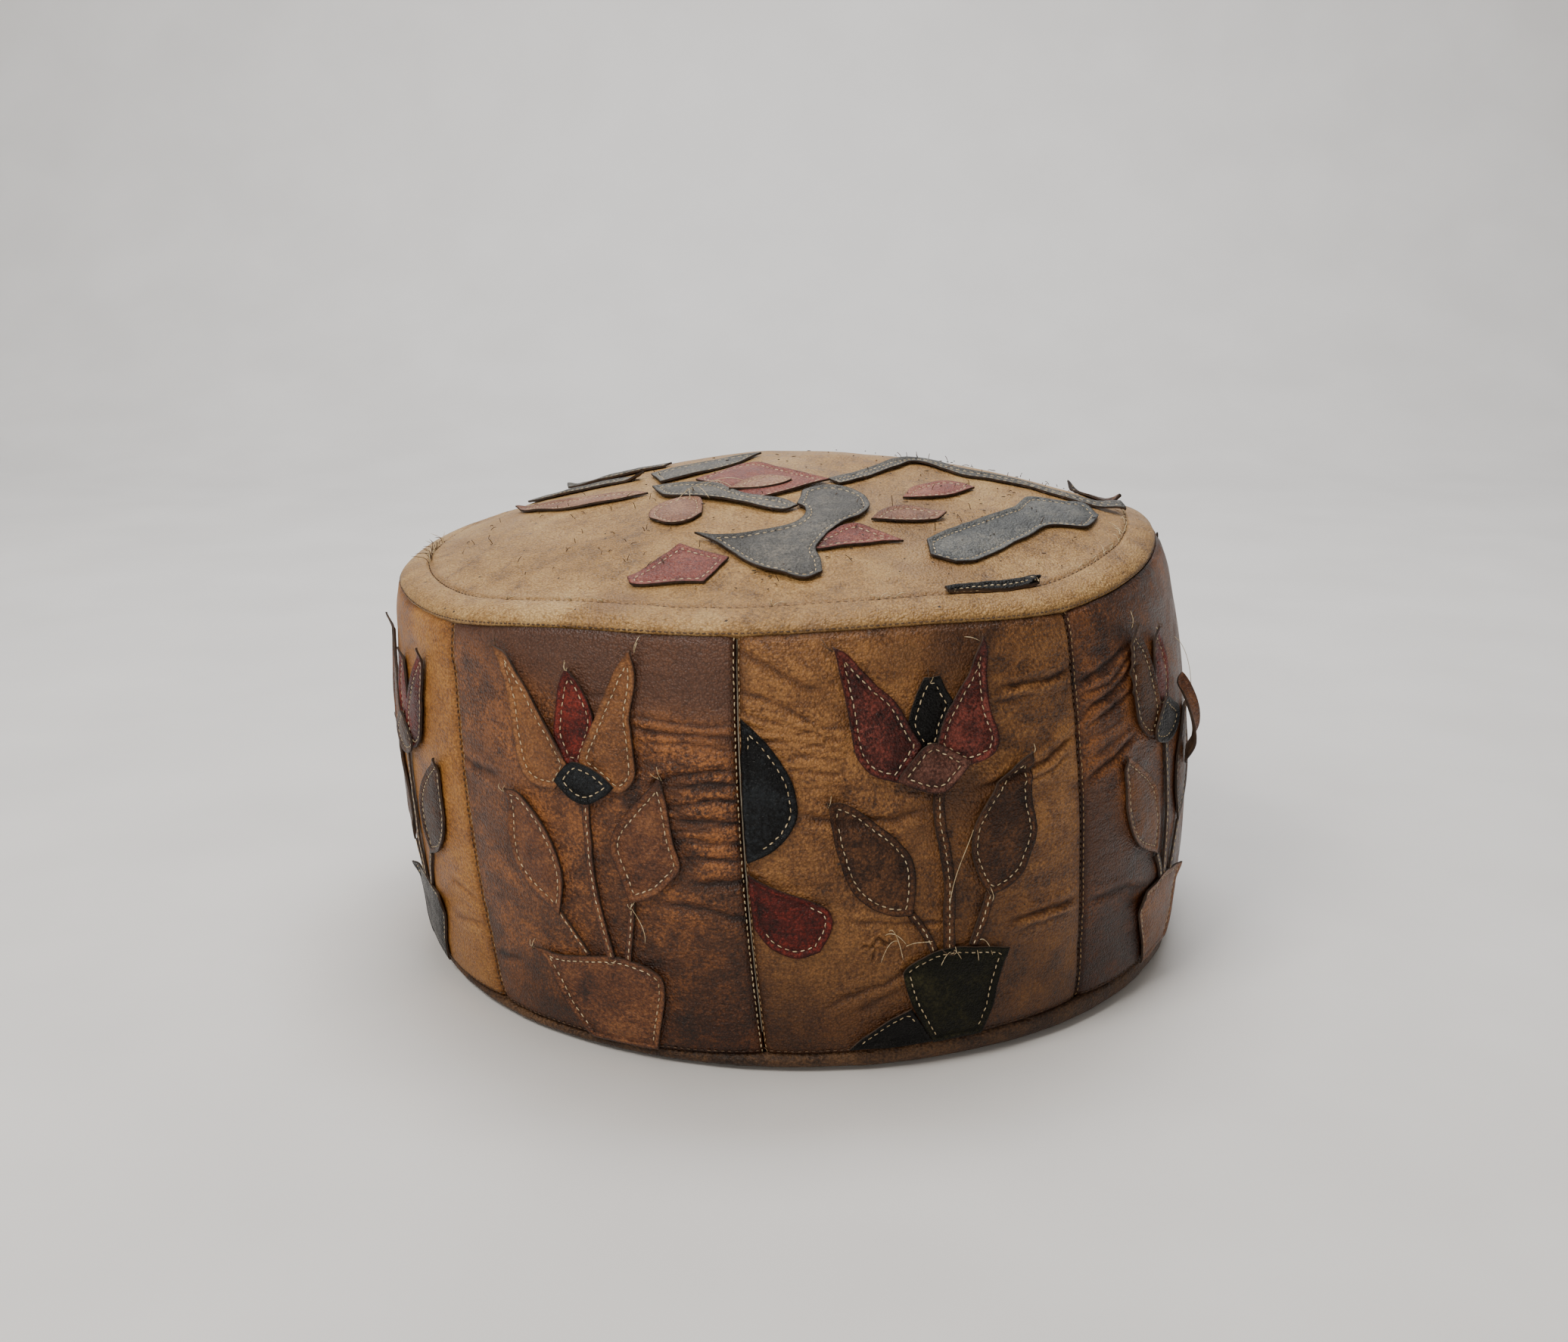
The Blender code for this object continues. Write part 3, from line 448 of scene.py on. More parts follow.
def leather(name, dark, base, light, rough=0.46, specks=0.0, tint=None, seed=0.0, spots=1.0, gloss=0.30):
    """Waxed, worn leather. The mesh's wear attribute runs from about -1, dark, to 1, rubbed light, and also carries
    painted shade in the creases and seams and painted highlights on the crease crests and the pieces' rims; its shade
    attribute darkens it, as painted shade on the side panels and as dirt on the base.
    """
    g = Graph(name)
    place = g.place
    if seed:
        place = g.add("Mapping", {"Location": (seed, seed * 0.7, seed * 1.3), "Vector": place}).outputs[0]
    broad = g.noise(place, BROAD, 5, 0.6)
    blotch = g.noise(place, BLOTCH, 9, 0.4)
    fleck = g.noise(place, FLECK, 6)
    wear_and_shading = g.attribute("wear_and_shading")
    sparkle = g.times(g.term(fleck, 1.1 * spots), wear_and_shading)
    level = g.total(g.term(broad, 0.9), g.term(blotch, 1.0 * spots), g.term(fleck, 1.15 * spots), sparkle,
                    g.times(wear_and_shading, 0.26), 0.5)
    colour = g.ramp(level, [(0.12, dark), (0.48, base), (0.86, light)])
    if tint:
        patchy = g.total(g.attribute("tint"), g.term(blotch, 0.9), g.term(fleck, 0.6))
        amount = g.times(g.maths("SUBTRACT", patchy, 0.22), 1.6, True)
        colour = g.mix(g.times(amount, 0.85), colour, tint)
    # Painted shade on the side panels and dirt on the base: the mesh's shade attribute, broken up by blotches,
    # multiplies the colour towards a dark brown.
    shade_and_dirt = g.times(g.total(g.attribute("shade_and_dirt"), g.term(blotch, 0.5)), 1.0, True)
    colour = g.mix(shade_and_dirt, colour, SHADE_AND_DIRT_COLOUR, "MULTIPLY")
    # Grain: rounded plates a millimetre across, dark between them.
    wobble = g.add("TexNoise", {"Scale": WOBBLE, "Vector": place}).outputs["Color"]
    small = g.add("VectorMath", operation="SCALE")
    g.feed(small.inputs[0], wobble)
    g.feed(small.inputs["Scale"], 0.0013)
    bent = g.add("VectorMath", {0: place, 1: small.outputs[0]}).outputs[0]
    plates = g.cells(bent, PLATES)["Distance"]
    colour = g.mix(0.75, colour, g.ramp(plates, [(0.15, 1.0), (0.75, 0.50)]), "MULTIPLY")
    if specks:
        dots = g.cells(bent, SPECKS)
        near = g.maths("LESS_THAN", dots["Distance"], 0.12)
        chosen = g.add("SeparateColor", {0: dots["Color"]}).outputs[0]
        colour = g.mix(g.times(near, g.maths("LESS_THAN", chosen, specks)), colour, SPECK)
    roughness = g.maths("ADD", g.total(g.term(blotch, 0.45), g.term(fleck, 0.2), g.times(wear_and_shading, -0.05)), rough, True)
    g.shader.inputs["Specular IOR Level"].default_value = gloss
    slack = g.noise(place, SLACK, 6, 0.8, (0.5, 0.5, 1.6))
    height = g.total(g.times(plates, -1.0), g.times(g.noise(place, FINE), 0.35), g.times(slack, 2.0))
    return g.finish(colour, roughness, height, 0.8, 0.0007)


def plain(name, base, light, rough, scale=900, metallic=0.0, depth=0.0003, stretch=None, sheen=0.0, twill=False):
    """A simpler surface: thread, cloth, cut edges and metal. A twill has the diagonal ribs of zip tape."""
    g = Graph(name)
    mottle = g.noise(g.place, scale / 6, 4)
    if twill:
        height = g.add("TexWave", {"Scale": 330, "Distortion": 0.6, "Vector": g.place}, wave_type="BANDS",
                       bands_direction="DIAGONAL").outputs["Fac"]
    else:
        height = g.noise(g.place, scale, 3, 0.4, stretch)
    g.shader.inputs["Metallic"].default_value = metallic
    g.shader.inputs["Sheen Weight"].default_value = sheen
    colour = g.ramp(mottle, [(0.35, base), (0.68, light)])
    return g.finish(colour, g.maths("ADD", g.times(mottle, 0.3), rough - 0.15, True), height, 0.6, depth)


LEATHERS = {
    "dark": leather("leather_dark", (0.022, 0.007, 0.003), (0.115, 0.040, 0.013), (0.36, 0.135, 0.038), 0.40,
                    tint=(0.088, 0.039, 0.024)),
    "tan": leather("leather_tan", (0.040, 0.014, 0.004), (0.165, 0.066, 0.018), (0.34, 0.155, 0.045), 0.45,
                   tint=(0.052, 0.018, 0.007), specks=0.04),
    "bright": leather("leather_bright_tan", (0.13, 0.046, 0.010), (0.33, 0.135, 0.028), (0.50, 0.24, 0.06), 0.46,
                      tint=(0.13, 0.05, 0.016), specks=0.03, seed=0.3),
    "top": leather("leather_top", (0.14, 0.070, 0.022), (0.335, 0.185, 0.060), (0.50, 0.32, 0.13), 0.46,
                   tint=(0.185, 0.098, 0.050), specks=0.16, seed=0.7, spots=0.9),
    "base": leather("leather_base", (0.016, 0.007, 0.003), (0.055, 0.026, 0.012), (0.13, 0.065, 0.028), 0.55,
                    seed=1.1),
    "light": leather("piece_light_tan", (0.050, 0.017, 0.005), (0.185, 0.068, 0.019), (0.36, 0.155, 0.047), 0.42,
                     seed=0.2, spots=0.7),
    "oxblood": leather("piece_oxblood", (0.008, 0.002, 0.0015), (0.060, 0.011, 0.008), (0.21, 0.046, 0.032), 0.36,
                       seed=0.5, gloss=0.2),
    "red": leather("piece_red", (0.010, 0.0016, 0.001), (0.070, 0.0065, 0.004), (0.21, 0.024, 0.014), 0.38,
                   seed=0.55, gloss=0.2),
    "black": leather("piece_black", (0.001, 0.001, 0.001), (0.0028, 0.0026, 0.0024), (0.012, 0.011, 0.010), 0.33,
                     seed=0.6, gloss=0.13),
    "navy": leather("piece_blue_black", (0.001, 0.001, 0.0012), (0.003, 0.0034, 0.004), (0.014, 0.017, 0.020), 0.33,
                    seed=0.65, gloss=0.13),
    "dusky": leather("piece_dusky_red", (0.014, 0.004, 0.003), (0.075, 0.026, 0.017), (0.20, 0.085, 0.060), 0.42,
                     seed=1.0, gloss=0.2),
    "brown": leather("piece_brown", (0.010, 0.0035, 0.0015), (0.042, 0.016, 0.0065), (0.130, 0.052, 0.019), 0.43,
                     seed=0.9, gloss=0.2),
    "tawny": leather("piece_tawny", (0.024, 0.0075, 0.003), (0.112, 0.037, 0.013), (0.25, 0.098, 0.034), 0.43,
                     seed=0.95),
    "green": leather("piece_green", (0.0018, 0.0018, 0.0007), (0.0065, 0.0065, 0.0025), (0.030, 0.027, 0.010), 0.44,
                     seed=1.3, gloss=0.12),
    "grey": leather("piece_grey", (0.016, 0.014, 0.012), (0.072, 0.069, 0.062), (0.19, 0.17, 0.14), 0.46, seed=1.5,
                    specks=0.10),
    "slate": leather("piece_slate", (0.018, 0.019, 0.020), (0.064, 0.069, 0.070), (0.17, 0.165, 0.145), 0.44,
                     seed=1.6, specks=0.06),
    "rose": leather("piece_faded_red", (0.065, 0.014, 0.010), (0.185, 0.042, 0.030), (0.34, 0.13, 0.085), 0.46,
                    seed=1.8, specks=0.05, spots=0.8),
    "pink": leather("piece_faded_pink", (0.10, 0.040, 0.024), (0.225, 0.100, 0.058), (0.38, 0.21, 0.125), 0.48,
                    seed=2.0, specks=0.05, spots=0.8),
}
CUT_EDGE = plain("cut_edge", (0.012, 0.006, 0.003), (0.050, 0.026, 0.013), 0.8, 1500)
FLESH = plain("flesh_side", (0.06, 0.032, 0.016), (0.15, 0.085, 0.045), 0.85, 1300)
THREAD = plain("cotton_thread", (0.30, 0.22, 0.115), (0.62, 0.50, 0.31), 0.75, 2500, stretch=(1, 1, 3))
THREAD_DARK = plain("brown_thread", (0.035, 0.017, 0.008), (0.11, 0.060, 0.028), 0.75, 2500)
THREAD_GOLD = plain("tan_thread", (0.16, 0.092, 0.038), (0.36, 0.235, 0.115), 0.75, 2500)


# ---------------------------------------------------------------- mesh making


def make(name, points, faces, materials, replaced=(), floats=None, slots=None, hard=None):
    """A smooth-shaded piece from points in millimetres. Faces in material slot "hard" are flat-shaded."""
    mesh = bpy.data.meshes.new(name)
    points = np.asarray(points, float) * MM
    mesh.from_pydata(points.tolist(), [], [tuple(int(i) for i in f) for f in faces])
    for material in materials:
        mesh.materials.append(material)
    for key, values in (floats or {}).items():
        layer = mesh.attributes.new(key, "FLOAT", "POINT")
        layer.data.foreach_set("value", np.asarray(values, np.float32).ravel())
    if slots is not None:
        mesh.polygons.foreach_set("material_index", np.asarray(slots, np.int32))
    curved = np.ones(len(mesh.polygons), bool)
    if hard is not None:
        curved = np.asarray(slots) != hard
    mesh.polygons.foreach_set("use_smooth", curved)
    mesh.update()
    piece = bpy.data.objects.new(name, mesh)
    bpy.context.scene.collection.objects.link(piece)
    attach(piece, ROOT)
    if replaced:
        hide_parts(*replaced)
    return piece


def cap(centre, first, columns, flip=False):
    """Triangles from a middle point to the ring of points that starts at first."""
    ring = [(centre, first + i, first + (i + 1) % columns) for i in range(columns)]
    return [(a, c, b) for a, b, c in ring] if flip else ring


def grid_faces(rows, columns, closed=False, flip=False):
    faces = []
    for j in range(rows - 1):
        for i in range(columns if closed else columns - 1):
            k = (i + 1) % columns
            quad = (j * columns + i, j * columns + k, (j + 1) * columns + k, (j + 1) * columns + i)
            faces.append(quad[::-1] if flip else quad)
    return faces


# ---------------------------------------------------------------- side panels, top and base

PANEL_LOOKS = {"a": "bright", "b": "dark", "c": "tan", "d": "dark", "e": "tan", "f": "dark", "g": "tan", "h": "dark"}
EDGE_TURN = np.array([-2.6, -1.2, -0.35])


def side_panel(letter):
    """One sewn panel: its outer face, with the allowance turned in at all four edges."""
    i = PANELS.index(letter)
    near = letter in "abcd"
    columns, rows = (176, 212) if near else (92, 112)
    across = np.linspace(0, 1, columns)
    up = np.linspace(0, 1, rows)
    w, t = np.meshgrid(across, up)
    start = SEAM_ANGLES[i] + seam_shift(i, t)
    end = NEXT_SEAMS[i] + seam_shift((i + 1) % 8, t)
    trim = 0.10
    angle = (start + trim) * (1 - w) + (end - trim) * w
    t = 0.002 + 0.996 * t
    points, wear_and_shading = side_surface(angle, t)
    normal = side_normal(angle, t)
    u = np.radians(angle - MIDDLES[letter]) * BELLY_RADIUS
    v = t * SIDE_HEIGHT
    p = side_at(angle, t)
    edge = np.minimum.reduce([w * 168, (1 - w) * 168, t * 212, (1 - t) * 212])
    # Painted shade, as from a light above and to the left: darker towards the bottom of the panel and along its edges
    # where they run into the seams.
    shade_and_dirt = 0.55 * smooth(-v, -75, 5) + 0.20 * smooth(-v, -130, -50) + 0.30 * bell(edge, 4.0) + 0.5 * bell(edge, 1.3)
    wear_and_shading = wear_and_shading - 0.35 * bell(edge, 3.0)
    if letter == "b":
        tint = 0.9 * smooth(v + 0.22 * u + 16 * noise(p, 40, 31), 160, 200)
        tint = np.maximum(tint, 0.5 * smooth(fractal(p, 30, 3, 33), 0.0, 0.4) * smooth(-u, -10, 60))
        # Painted shade on b's lower right; b is also darker in patches low on its left.
        shade_and_dirt = shade_and_dirt + 0.30 * smooth(u, 10, 60) * smooth(-v, -110, -60)
        shade_and_dirt = shade_and_dirt + 0.45 * smooth(noise(p, 30, 34), 0.15, 0.6) * smooth(-u, 25, 45) * smooth(-v, -130, -90)
    elif letter == "c":
        tint = 0.60 * smooth(fractal(p, 42, 3, 35), 0.05, 0.5)
        # On c, darker towards the bottom on its left half and a little lighter on its right.
        shade_and_dirt = shade_and_dirt + 0.35 * smooth(-v, -75, -10) * smooth(-u, -50, 10) - 0.12 * smooth(u, 20, 60)
    elif PANEL_LOOKS[letter] == "dark":
        tint = 0.6 * smooth(fractal(p, 38, 3, 37), 0.0, 0.5)
        # Painted shade: d, on the side away from the light, is darker all over; the other dark panels are a little
        # darker.
        shade_and_dirt = shade_and_dirt + (0.30 if letter == "d" else 0.1)
    else:
        tint = 0.35 * smooth(fractal(p, 45, 3, 39), 0.1, 0.5)
        # Panel a, on the lit side, gets half the painted shade.
        shade_and_dirt = shade_and_dirt * (0.5 if letter == "a" else 1)
    # Turn the border in, as a ring of three extra rows on every side.
    grid = np.pad(points, ((3, 3), (3, 3), (0, 0)), "edge")
    norm = np.pad(normal, ((3, 3), (3, 3), (0, 0)), "edge")
    depth = np.zeros(grid.shape[:2])
    for k, drop in enumerate(EDGE_TURN):
        for index in (k, -1 - k):
            depth[index, :] = np.minimum(depth[index, :], drop)
            depth[:, index] = np.minimum(depth[:, index], drop)
    grid = grid + norm * depth[..., None]
    # Painted shade in the seams: the turned-in rows grow darker the deeper they go.
    wear_and_shading = np.pad(wear_and_shading, 3, "edge") + 0.2 * depth
    tint = np.pad(tint, 3, "edge")
    shade_and_dirt = np.pad(shade_and_dirt, 3, "edge") - 0.15 * depth
    make("panel_" + letter, grid.reshape(-1, 3), grid_faces(rows + 6, columns + 6),
                 [LEATHERS[PANEL_LOOKS[letter]]], ["side_panel_" + letter],
                 {"wear_and_shading": wear_and_shading, "tint": np.clip(tint, 0, 1), "shade_and_dirt": np.clip(shade_and_dirt, 0, 1)})


def top_piece():
    columns = 480
    marks = np.concatenate([np.linspace(0.012, 0.94, 78), np.linspace(0.946, 1.054, 19)[:-1],
                            np.linspace(1.054, 1.965, 26)])
    angle, s = np.meshgrid(np.linspace(0, 360, columns, endpoint=False), marks)
    points, wear_and_shading = top_surface(angle, s)
    p = top_at(angle, s)
    tint = 0.75 * smooth(fractal(p, 70, 4, 41), 0.0, 0.55)
    tint = np.maximum(tint, 0.5 * bell((s - 1) * 200, 4.0) * (s < 1.1))
    # The edge turns down into the seam, and its two turned rows are darker, as painted shade in the seam.
    last = points[-1]
    inward = unit(np.stack([TOP_CENTRE[0] - last[:, 0], TOP_CENTRE[1] - last[:, 1], 0 * last[:, 0]], -1))
    turned = [last + inward * 0.5 + (0, 0, -1.0), last + inward * 2.4 + (0, 0, -2.6)]
    grid = np.concatenate([points, np.stack(turned)])
    wear_and_shading = np.concatenate([wear_and_shading, np.full((2, columns), -0.6)])
    tint = np.concatenate([tint, tint[-1:], tint[-1:]])
    middle = grid[0].mean(axis=0)
    count = grid.shape[0] * columns
    faces = grid_faces(grid.shape[0], columns, closed=True, flip=True)
    faces += cap(count, 0, columns)
    floats = {"wear_and_shading": np.append(wear_and_shading.ravel(), 0), "tint": np.append(np.clip(tint, 0, 1).ravel(), 0)}
    points = np.concatenate([grid.reshape(-1, 3), middle[None]])
    make("top_cover", points, faces, [LEATHERS["top"]], ["top_panel"], floats)


def base_rim():
    """The base leather where it turns up to the seam, which shows as a dark band under the panels."""
    columns = 420
    angle, f = np.meshgrid(np.linspace(0, 360, columns, endpoint=False), np.linspace(0, 1, 16))
    seam = around(BASE_SEAM, angle)
    # From the seam, out a little, down, and in under the body.
    radius = BASE_RADIUS * (1 - f)**2 + (BASE_RADIUS + 1.6) * 2 * f * (1 - f) + 205.5 * f**2
    height = seam * (1 - f)**2 - 0.5 * f * (1 - f) * 2
    p = spot(*BASE_CENTRE, radius, angle + TWIST, height)
    bulge = (0.8 * fractal(p, 40, 2, 51) + 0.5 * noise(p, 12, 52)) * np.sin(np.pi * f)
    radius = radius + bulge + 0.6 * np.sin(np.pi * f) - 1.0 * bell(f, 0.05)
    points = spot(*BASE_CENTRE, radius, angle + TWIST, np.maximum(height, 0.15))
    top = spot(*BASE_CENTRE, radius[0] - 2.5, angle[0] + TWIST, seam[0] + 0.4)
    grid = np.concatenate([top[None], points])
    wear_and_shading = 0.5 * fractal(grid, 40, 3, 53) + 0.2
    make("base_rim", grid.reshape(-1, 3), grid_faces(17, columns, closed=True, flip=True), [LEATHERS["base"]],
                (), {"wear_and_shading": wear_and_shading, "shade_and_dirt": 0 * wear_and_shading})


def stuffing():
    """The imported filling: a plump body just inside the covers."""
    columns = 120
    turns = np.linspace(0, 360, columns, endpoint=False)
    rows = []
    for s in np.linspace(0.05, 1.9, 18):
        rows.append(top_surface(turns, np.full(columns, s), -3.6)[0])
    for t in np.linspace(0.97, 0.05, 22):
        rows.append(side_surface(turns, np.full(columns, t), -3.6)[0])
    rows.append(spot(*BASE_CENTRE, 196, turns, 12.4))
    rows.append(spot(*BASE_CENTRE, 60, turns, 12.0))
    grid = np.stack(rows)
    lumps = 0.8 * fractal(grid, 24, 2, 61)
    centre = np.array([0, 0, 130.0])
    grid = grid - unit(grid - centre) * np.clip(lumps + 0.8, 0, 2)[..., None]
    count = grid.shape[0] * columns
    faces = grid_faces(grid.shape[0], columns, closed=True, flip=True)
    faces += cap(count, 0, columns) + cap(count + 1, count - columns, columns, flip=True)
    points = np.concatenate([grid.reshape(-1, 3), grid[0].mean(axis=0)[None], grid[-1].mean(axis=0)[None]])
    fibre = plain("stuffing", (0.50, 0.44, 0.33), (0.72, 0.66, 0.52), 0.9, 500, depth=0.001, sheen=0.2)
    piece = make("stuffing", points, faces, [fibre], ["filling"])


# ---------------------------------------------------------------- stitches and threads


def bead():
    """A stitch one unit long along X and one across, as rings of an ellipse."""
    rings, sides = 5, 6
    points = [(-0.5, 0, 0)]
    for k in range(rings):
        x = -0.5 + (k + 1) / (rings + 1)
        r = 0.5 * math.sqrt(max(1 - (2 * x)**2, 0))**0.6
        points += [(x, r * math.cos(math.tau * j / sides), r * math.sin(math.tau * j / sides)) for j in range(sides)]
    points.append((0.5, 0, 0))
    faces = [(0, 1 + (j + 1) % sides, 1 + j) for j in range(sides)]
    for k in range(rings - 1):
        a = 1 + k * sides
        faces += [(a + j, a + (j + 1) % sides, a + sides + (j + 1) % sides, a + sides + j) for j in range(sides)]
    a = 1 + (rings - 1) * sides
    faces += [(a + j, a + (j + 1) % sides, len(points) - 1) for j in range(sides)]
    return np.array(points), faces


BEAD_POINTS, BEAD_FACES = bead()


def stitched(name, places, along, up, material, length, width, seed):
    """One mesh of stitches at these places, each laid along its own direction."""
    places, along, up = np.asarray(places), unit(np.asarray(along)), unit(np.asarray(up))
    rng = np.random.default_rng(seed + 1)
    count = len(places)
    side = unit(np.cross(up, along))
    skew = rng.normal(0, 0.10, count)[:, None]
    along = unit(along + side * skew)
    side = unit(np.cross(up, along))
    size = (length * rng.uniform(0.86, 1.08, count))[:, None, None]
    thick = (width * rng.uniform(0.85, 1.15, count))[:, None, None]
    shape = BEAD_POINTS[None]
    points = (places[:, None] + along[:, None] * shape[..., :1] * size + side[:, None] * shape[..., 1:2] * thick
              + up[:, None] * shape[..., 2:] * thick * 0.9)
    step = len(BEAD_POINTS)
    faces = [tuple(i + k * step for i in f) for k in range(count) for f in BEAD_FACES]
    make(name, points.reshape(-1, 3), faces, [material])


def spaced(points, pitch, closed):
    """Places and directions every pitch millimetres along a line of 2D or 3D points."""
    points = np.asarray(points, float)
    if closed:
        points = np.concatenate([points, points[:1]])
    steps = np.linalg.norm(np.diff(points, axis=0), axis=1)
    total = np.concatenate([[0], np.cumsum(steps)])
    count = max(1, int(round(total[-1] / pitch)))
    wanted = (np.arange(count) + 0.5) * total[-1] / count

    def along(distance):
        return np.stack([np.interp(distance, total, column) for column in points.T], -1)

    return along(wanted), along(wanted + 0.4) - along(wanted - 0.4)


def tube(points, radius, sides=6):
    """Points and faces of a thin round strand along a line."""
    points = np.asarray(points, float)
    tangent = unit(np.gradient(points, axis=0))
    side = unit(np.cross(tangent, np.where(np.abs(tangent[:, 2:]) < 0.9, (0.0, 0.0, 1.0), (1.0, 0.0, 0.0))))
    up = np.cross(side, tangent)
    turn = np.arange(sides) * math.tau / sides
    taper = np.ones(len(points))
    taper[-1] = 0.3
    ring = (side[:, None] * np.cos(turn)[None, :, None] + up[:, None] * np.sin(turn)[None, :, None])
    mesh = (points[:, None] + ring * (radius * taper)[:, None, None]).reshape(-1, 3)
    faces = grid_faces(len(points), sides, closed=True)
    faces.append(tuple(range(sides))[::-1])
    faces.append(tuple(range(len(mesh) - sides, len(mesh))))
    return mesh, faces


def strands(name, lines, radius, material):
    """Several strands in one mesh."""
    points, faces, start = [], [], 0
    for line in lines:
        mesh, found = tube(line, radius)
        points.append(mesh)
        faces += [tuple(i + start for i in f) for f in found]
        start += len(mesh)
    make(name, np.concatenate(points), faces, [material])


def bezier(a, b, c, d, count):
    f = np.linspace(0, 1, count)[:, None]
    a, b, c, d = (np.asarray(p, float) for p in (a, b, c, d))
    return a * (1 - f)**3 + b * 3 * f * (1 - f)**2 + c * 3 * f**2 * (1 - f) + d * f**3


# ---------------------------------------------------------------- applique


def curve_through(outline, step=1.6):
    """A closed outline with smooth runs between its sharp corners, which are the points marked with a third value."""
    if isinstance(outline, str):
        marks = outline.split()
        sharp = [mark.endswith("*") for mark in marks]
        points = [np.array([float(v) for v in mark.strip("*").split(",")]) for mark in marks]
    else:
        points = [np.array(p[:2], float) for p in outline]
        sharp = [len(p) > 2 for p in outline]
    count = len(points)
    found = []
    for i in range(count):
        a, b = points[i], points[(i + 1) % count]
        span = np.linalg.norm(b - a)
        before = points[i - 1] if not sharp[i] else a - (b - a)
        after = points[(i + 2) % count] if not sharp[(i + 1) % count] else b + (b - a)
        slope_a = unit(b - before) * span
        slope_b = unit(after - a) * span
        pieces = max(2, int(span / step))
        f = np.arange(pieces)[:, None] / pieces
        found.append(hermite(f, a, slope_a, b, slope_b))
    loop = np.concatenate(found)
    area = np.sum(loop[:, 0] * np.roll(loop[:, 1], -1) - np.roll(loop[:, 0], -1) * loop[:, 1])
    return loop if area > 0 else loop[::-1]


def ribbon(line, width, end_width):
    """The outline of a strip along a line, sharp at its four corners."""
    line = np.asarray(line, float)
    tangent = unit(np.gradient(line, axis=0))
    widths = np.linspace(width, end_width, len(line))[:, None] / 2
    normal = np.stack([-tangent[:, 1], tangent[:, 0]], -1)
    right = line - normal * widths
    left = (line + normal * widths)[::-1]
    shape = []
    for side in (right, left):
        shape += [(*side[0], 1), *[tuple(p) for p in side[1:-1]], (*side[-1], 1)]
    return shape


def loop_distance(x, y, loop):
    return line_distance(x, y, np.concatenate([loop, loop[:1]]))[0]


def inside_loop(x, y, loop):
    inside = np.zeros(np.shape(x), bool)
    for (ax, ay), (bx, by) in zip(loop, np.roll(loop, -1, axis=0)):
        crosses = (ay > y) != (by > y)
        inside ^= crosses & (x < (bx - ax) * (y - ay) / (by - ay + 1e-12) + ax)
    return inside


def inset(loop, amount):
    """The loop moved inwards, without the points that a narrow tip leaves too near the edge."""
    tangent = unit(np.roll(loop, -1, axis=0) - np.roll(loop, 1, axis=0))
    moved = loop + np.stack([-tangent[:, 1], tangent[:, 0]], -1) * amount
    x, y = moved[:, 0], moved[:, 1]
    good = (loop_distance(x, y, loop) > amount * 0.93) & inside_loop(x, y, loop)
    return moved[good]


class Side:
    """The surface of one side panel, for laying pieces on."""

    def __init__(self, letter, stretch=1.0, shift=0.0, lean=0.0):
        self.middle = MIDDLES[letter]
        self.stretch = stretch
        self.shift = shift
        self.lean = lean

    def place(self, x, y):
        angle = self.middle + np.degrees((x + self.shift + self.lean * y) / BELLY_RADIUS)
        t = np.clip(y * self.stretch / SIDE_HEIGHT, 0.0, 1.0)
        points, wear_and_shading = side_surface(angle, t, 0.0, 0.92)
        return points, side_normal(angle, t), wear_and_shading


class Top:
    def place(self, x, y):
        angle, s = polar_of(x, y)
        points, wear_and_shading = top_surface(angle, s)
        return points, plan_normal(x, y), wear_and_shading


SEEDS = iter(range(1000))
STITCH_INSET = 3.3
STITCH_WIDTH = 0.66
THICKNESS = 1.15
GRID_STEP = 3.2


